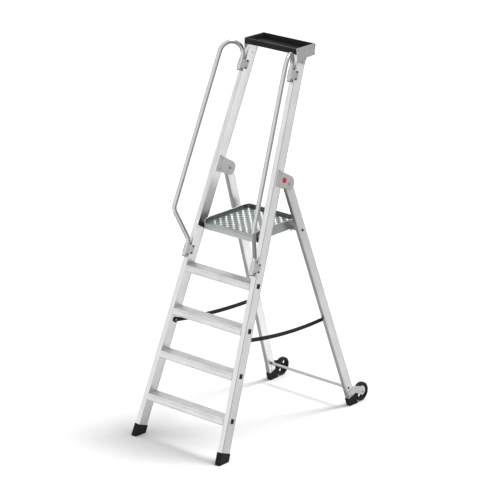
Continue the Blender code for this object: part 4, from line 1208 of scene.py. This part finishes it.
def make_field():
    """The perforated field: raised dimples in staggered rows with open holes between them."""
    bm = bmesh.new()
    half = CELL * CELLS_ACROSS / 2
    front = PANEL_FRONT_Y + FIELD_INSET
    per_side = 6
    bottom = DECK_Z - DECK_SHEET

    def square(cx, cy, size):
        points = []
        for sx, sy, dx, dy in ((1, -1, 0, 1), (1, 1, -1, 0), (-1, 1, 0, -1), (-1, -1, 1, 0)):
            for i in range(per_side):
                share = 2 * i / per_side
                points.append((cx + size * (sx + dx * share), cy + size * (sy + dy * share)))
        return points

    def circle(cx, cy, radius):
        points = []
        for x, y in square(0, 0, 1):
            turn = atan2(y, x)
            points.append((cx + radius * cos(turn), cy + radius * sin(turn)))
        return points

    for column in range(CELLS_ACROSS):
        for row in range(CELLS_DEEP):
            cx = -half + CELL * (column + 0.5)
            cy = front + CELL * (row + 0.5)
            edge = square(cx, cy, CELL / 2)
            if (column + row) % 2:
                top, hole = BUMP, 0.0032
            else:
                top, hole = HOLE, 0.0042
            loops = [[world(x, y, DECK_Z) for x, y in edge]]
            for radius, height in top:
                loops.append([world(x, y, DECK_Z + height) for x, y in circle(cx, cy, radius)])
            loops.append([world(x, y, bottom) for x, y in circle(cx, cy, hole)])
            loops.append([world(x, y, bottom) for x, y in edge])
            rings = [ring(bm, loop) for loop in loops]
            for first, second in zip(rings, rings[1:]):
                bridge(bm, first, second)
            borders = (column == CELLS_ACROSS - 1, row == CELLS_DEEP - 1, column == 0, row == 0)
            for i in range(len(edge)):
                if borders[i // per_side]:
                    j = (i + 1) % len(edge)
                    bm.faces.new((rings[0][i], rings[0][j], rings[-1][j], rings[-1][i]))
    bmesh.ops.remove_doubles(bm, verts=bm.verts, dist=0.00002)
    return bm


def make_saddles():
    """The hooks below the deck's back corners that sit over the cross tube."""
    tube = LEGS[1].at(0, 0, leg_at_height(LEGS[1], SUPPORT_Z))
    tube_y = tube.y + ORIGIN_Y
    radius = SUPPORT_RADIUS + 0.001
    heading = radians(245)
    slot = arc((tube_y, SUPPORT_Z), radius, -25, 155, 20)
    for end in (slot[-1], slot[0]):
        slot.append((end[0] + 0.045 * cos(heading), end[1] + 0.045 * sin(heading)))
    ends = [(world(x, 0, 0), ACROSS) for x in (-0.25, 0.25)]
    cutter = prism(slot, lambda y, z: world(0, y, z), ACROSS, ends)
    bm = bmesh.new()
    inner = DECK_HALF_WIDTH - DECK_SHEET - 0.0002
    outline = [
        (tube_y - 0.04, SKIRT_Z + 0.016), (tube_y - 0.034, SKIRT_Z + 0.004),
        (tube_y - 0.026, SADDLE_Z + 0.006),
        (tube_y - 0.018, SADDLE_Z), (tube_y + 0.022, SADDLE_Z), (tube_y + 0.032, SADDLE_Z + 0.008),
        (tube_y + 0.034, SKIRT_Z + 0.004), (tube_y + 0.036, SKIRT_Z + 0.016),
    ]
    for _, side in SIDES:
        ends = [(world(side * x, 0, 0), ACROSS) for x in (inner, inner - DECK_SHEET)]
        prism(outline, lambda y, z: world(side * inner, y, z), ACROSS, ends, None, bm)
    return soften(carve(bm, [cutter]), 0.0005)


def make_platform():
    rim = piece("visual_platform_rim", make_rim(), "deck", DECK, UPRIGHT, ["platform_deck"], 35)
    # The rim's inner wall takes the darker metal: painted shade.
    rim.data.materials.append(LOOKS["rim_inside_shade"])
    for face in rim.data.polygons:
        if face.index % RIM_SECTION == RIM_INNER_WALL:
            face.material_index = 1
    piece("platform_lip", make_lip(), "deck", DECK, CROSSWISE, (), 35)
    piece("platform_floor_margin", make_floor_frame(), "deck_floor", DECK, CROSSWISE, (), 35)
    piece("platform_floor_field", make_field(), "deck_floor", DECK, CROSSWISE, (), 35)
    piece("platform_saddles", make_saddles(), "deck", DECK, UPRIGHT, (), 35)
    bm = bmesh.new()
    for _, side in SIDES:
        for y, z in ((0.7, 1.192), (0.8, 1.192), (0.56, 1.164)):
            rivet(bm, world(side * DECK_HALF_WIDTH, y, z), ACROSS * side, 0.0036)
    piece("platform_rivets", bm, "rivet", DECK)


# Straps

def make_straps():
    """Webbing bands from the stiles to the legs, each with an eyelet washer at its ends."""
    for name, side in SIDES:
        stile, leg = STILES[side], LEGS[side]
        face = stile.side(-STILE_WIDTH / 2 - STRAP_CLEAR)
        start = on_plane(world(0, *STRAP_FRONT), ACROSS * side, *face)
        end = leg.at(-LEG_WIDTH / 2 - STRAP_CLEAR, 0, leg_at_height(leg, STRAP_BACK_Z))
        run = end - start
        sag = STRAP_SAG[name]
        count = 48
        bm = bmesh.new()
        rings = []
        length = 0.0
        before = None
        marks = []
        for i in range(count + 1):
            at = i / count
            middle = start + run * at
            middle.z -= 4 * sag * at * (1 - at)
            slope = Vector((0, run.y, run.z - 4 * sag * (1 - 2 * at))).normalized()
            edge = Vector((0, -slope.z, slope.y)) * (STRAP_WIDTH / 2)
            thick = Vector((-side * STRAP_THICKNESS, 0, 0))
            if before:
                length += (middle - before).length
            before = middle
            section = []
            for across, depth in STRAP_SECTION:
                section.append(middle + edge * across + thick * depth)
                marks.append((across * STRAP_WIDTH / 2, depth * STRAP_THICKNESS, length))
            rings.append(ring(bm, section))
        skin(bm, rings)
        strap = rebuild("restraint_strap_" + name, bm, "webbing", None, UPRIGHT)
        for value, mark in zip(strap.data.attributes["grain"].data, marks):
            value.vector = mark
        bm = bmesh.new()
        hook = on_plane(start, stile.out, *stile.side(-STILE_WIDTH / 2))
        turned(EYELET, hook, -stile.out, 36, bm)
        tail_face = on_plane(end, leg.out, *leg.side(-LEG_WIDTH / 2))
        piece("strap_eyelet_" + name, bm, "black_plastic", FRONT)
        bm = bmesh.new()
        turned(STUD, hook, -stile.out, 24, bm)
        piece("strap_stud_" + name, bm, "steel", FRONT)
        bm = bmesh.new()
        turned(COLLAR, tail_face, -leg.out, 28, bm)
        bolt(bm, tail_face - leg.out * 0.0058, -leg.out, 0.0044, 0.0036)
        piece("strap_bolt_" + name, bm, "dark_steel", REAR)
        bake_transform(strap)


# Stage

def make_camera():
    camera = bpy.data.cameras.new("camera")
    camera.lens = CAMERA_LENS
    camera.sensor_width = 36
    camera.clip_end = 60
    made = bpy.data.objects.new("camera", camera)
    made.location = CAMERA_PLACE
    made.rotation_euler = (pi / 2 - CAMERA_PITCH, 0, CAMERA_YAW)
    bpy.context.scene.collection.objects.link(made)
    bpy.context.scene.camera = made


def make_floor():
    """A white floor round the ladder that runs on behind it as far as the picture sees."""
    outline = []
    for i in range(37):
        turn = radians(35 + 290 * i / 36)
        outline.append((FORWARD * cos(turn) + RIGHT * sin(turn)) * FLOOR_RADIUS)
    for way in (-1, 1):
        outline.append(FORWARD * FLOOR_REACH + RIGHT * (way * FLOOR_HALF_STRIP))
    mesh = bpy.data.meshes.new("floor")
    mesh.from_pydata(outline, [], [range(len(outline))])
    floor = bpy.data.objects.new("floor", mesh)
    bpy.context.scene.collection.objects.link(floor)
    made = bpy.data.materials.new("floor_paint")
    made.use_nodes = True
    tree = made.node_tree
    shader = tree.nodes["Principled BSDF"]
    shader.inputs["Base Color"].default_value = (0.77, 0.77, 0.77, 1)
    shader.inputs["Roughness"].default_value = 0.9
    shader.inputs["Specular IOR Level"].default_value = 0.1
    mesh.materials.append(made)


def make_sky():
    """White all round, darker low down in two panels behind the ladder and a little at its right."""
    sky = bpy.data.worlds.new("studio")
    bpy.context.scene.world = sky
    sky.use_nodes = True
    tree = sky.node_tree
    background = tree.nodes["Background"]
    source = tree.nodes.new("ShaderNodeTexCoord").outputs["Generated"]
    level = vector_maths(tree, "NORMALIZE", vector_maths(tree, "MULTIPLY", source, (1, 1, 0)))
    ahead = vector_maths(tree, "DOT_PRODUCT", level, FORWARD, "Value")
    right = vector_maths(tree, "DOT_PRODUCT", level, RIGHT, "Value")
    height = vector_maths(tree, "DOT_PRODUCT", source, UP, "Value")
    panel = maths(tree, ramp(tree, ahead, 0, 1, 0.12, 0.42),
                  ramp(tree, ahead, 1, 0, 0.955, 0.992), "MULTIPLY")
    panel = maths(tree, panel, ramp(tree, height, 1, 0, 0.3, 0.7), "MULTIPLY")
    beside = maths(tree, ramp(tree, right, 0, 1, 0.4, 0.95),
                   ramp(tree, height, 1, 0, 0.2, 0.6), "MULTIPLY")
    dark = maths(tree, maths(tree, panel, PANEL_DARK, "MULTIPLY"),
                      maths(tree, beside, BESIDE_DARK, "MULTIPLY"), "MAXIMUM")
    strength = maths(tree, SKY, maths(tree, dark, SKY, "MULTIPLY"), "SUBTRACT")
    tree.links.new(strength, background.inputs["Strength"])
    background.inputs["Color"].default_value = (1.0, 1.0, 1.0, 1)


def make_lights():
    scene = bpy.context.scene
    scene.view_settings.view_transform = "Standard"
    make_sky()
    sun = bpy.data.lights.new("key", "SUN")
    sun.energy = SUN_ENERGY
    sun.angle = SUN_SPREAD
    lamp = bpy.data.objects.new("key", sun)
    lamp.rotation_euler = SUN_FROM.to_track_quat("Z", "Y").to_euler()
    scene.collection.objects.link(lamp)


make_camera()
make_stiles()
make_treads()
make_front_feet()
make_hinges()
make_rails()
make_tray()
make_pads()
make_legs()
make_stretcher()
make_rear_feet()
for wheel_name, wheel_side in SIDES:
    make_wheel_plate(wheel_name, wheel_side)
    make_wheel(wheel_name, wheel_side)
make_platform()
make_straps()

# CAD pieces that keep their own shape take a finished material.
KEPT_LOOKS = {"polished_tube": "steel"}
slots = {row["node"]: row["material_slot"] for row in frame["record"]["subparts"]}
for node, kept in frame["nodes"].items():
    for socket in kept.material_slots:
        socket.material = LOOKS[KEPT_LOOKS.get(slots[node], slots[node])]

make_floor()
make_lights()
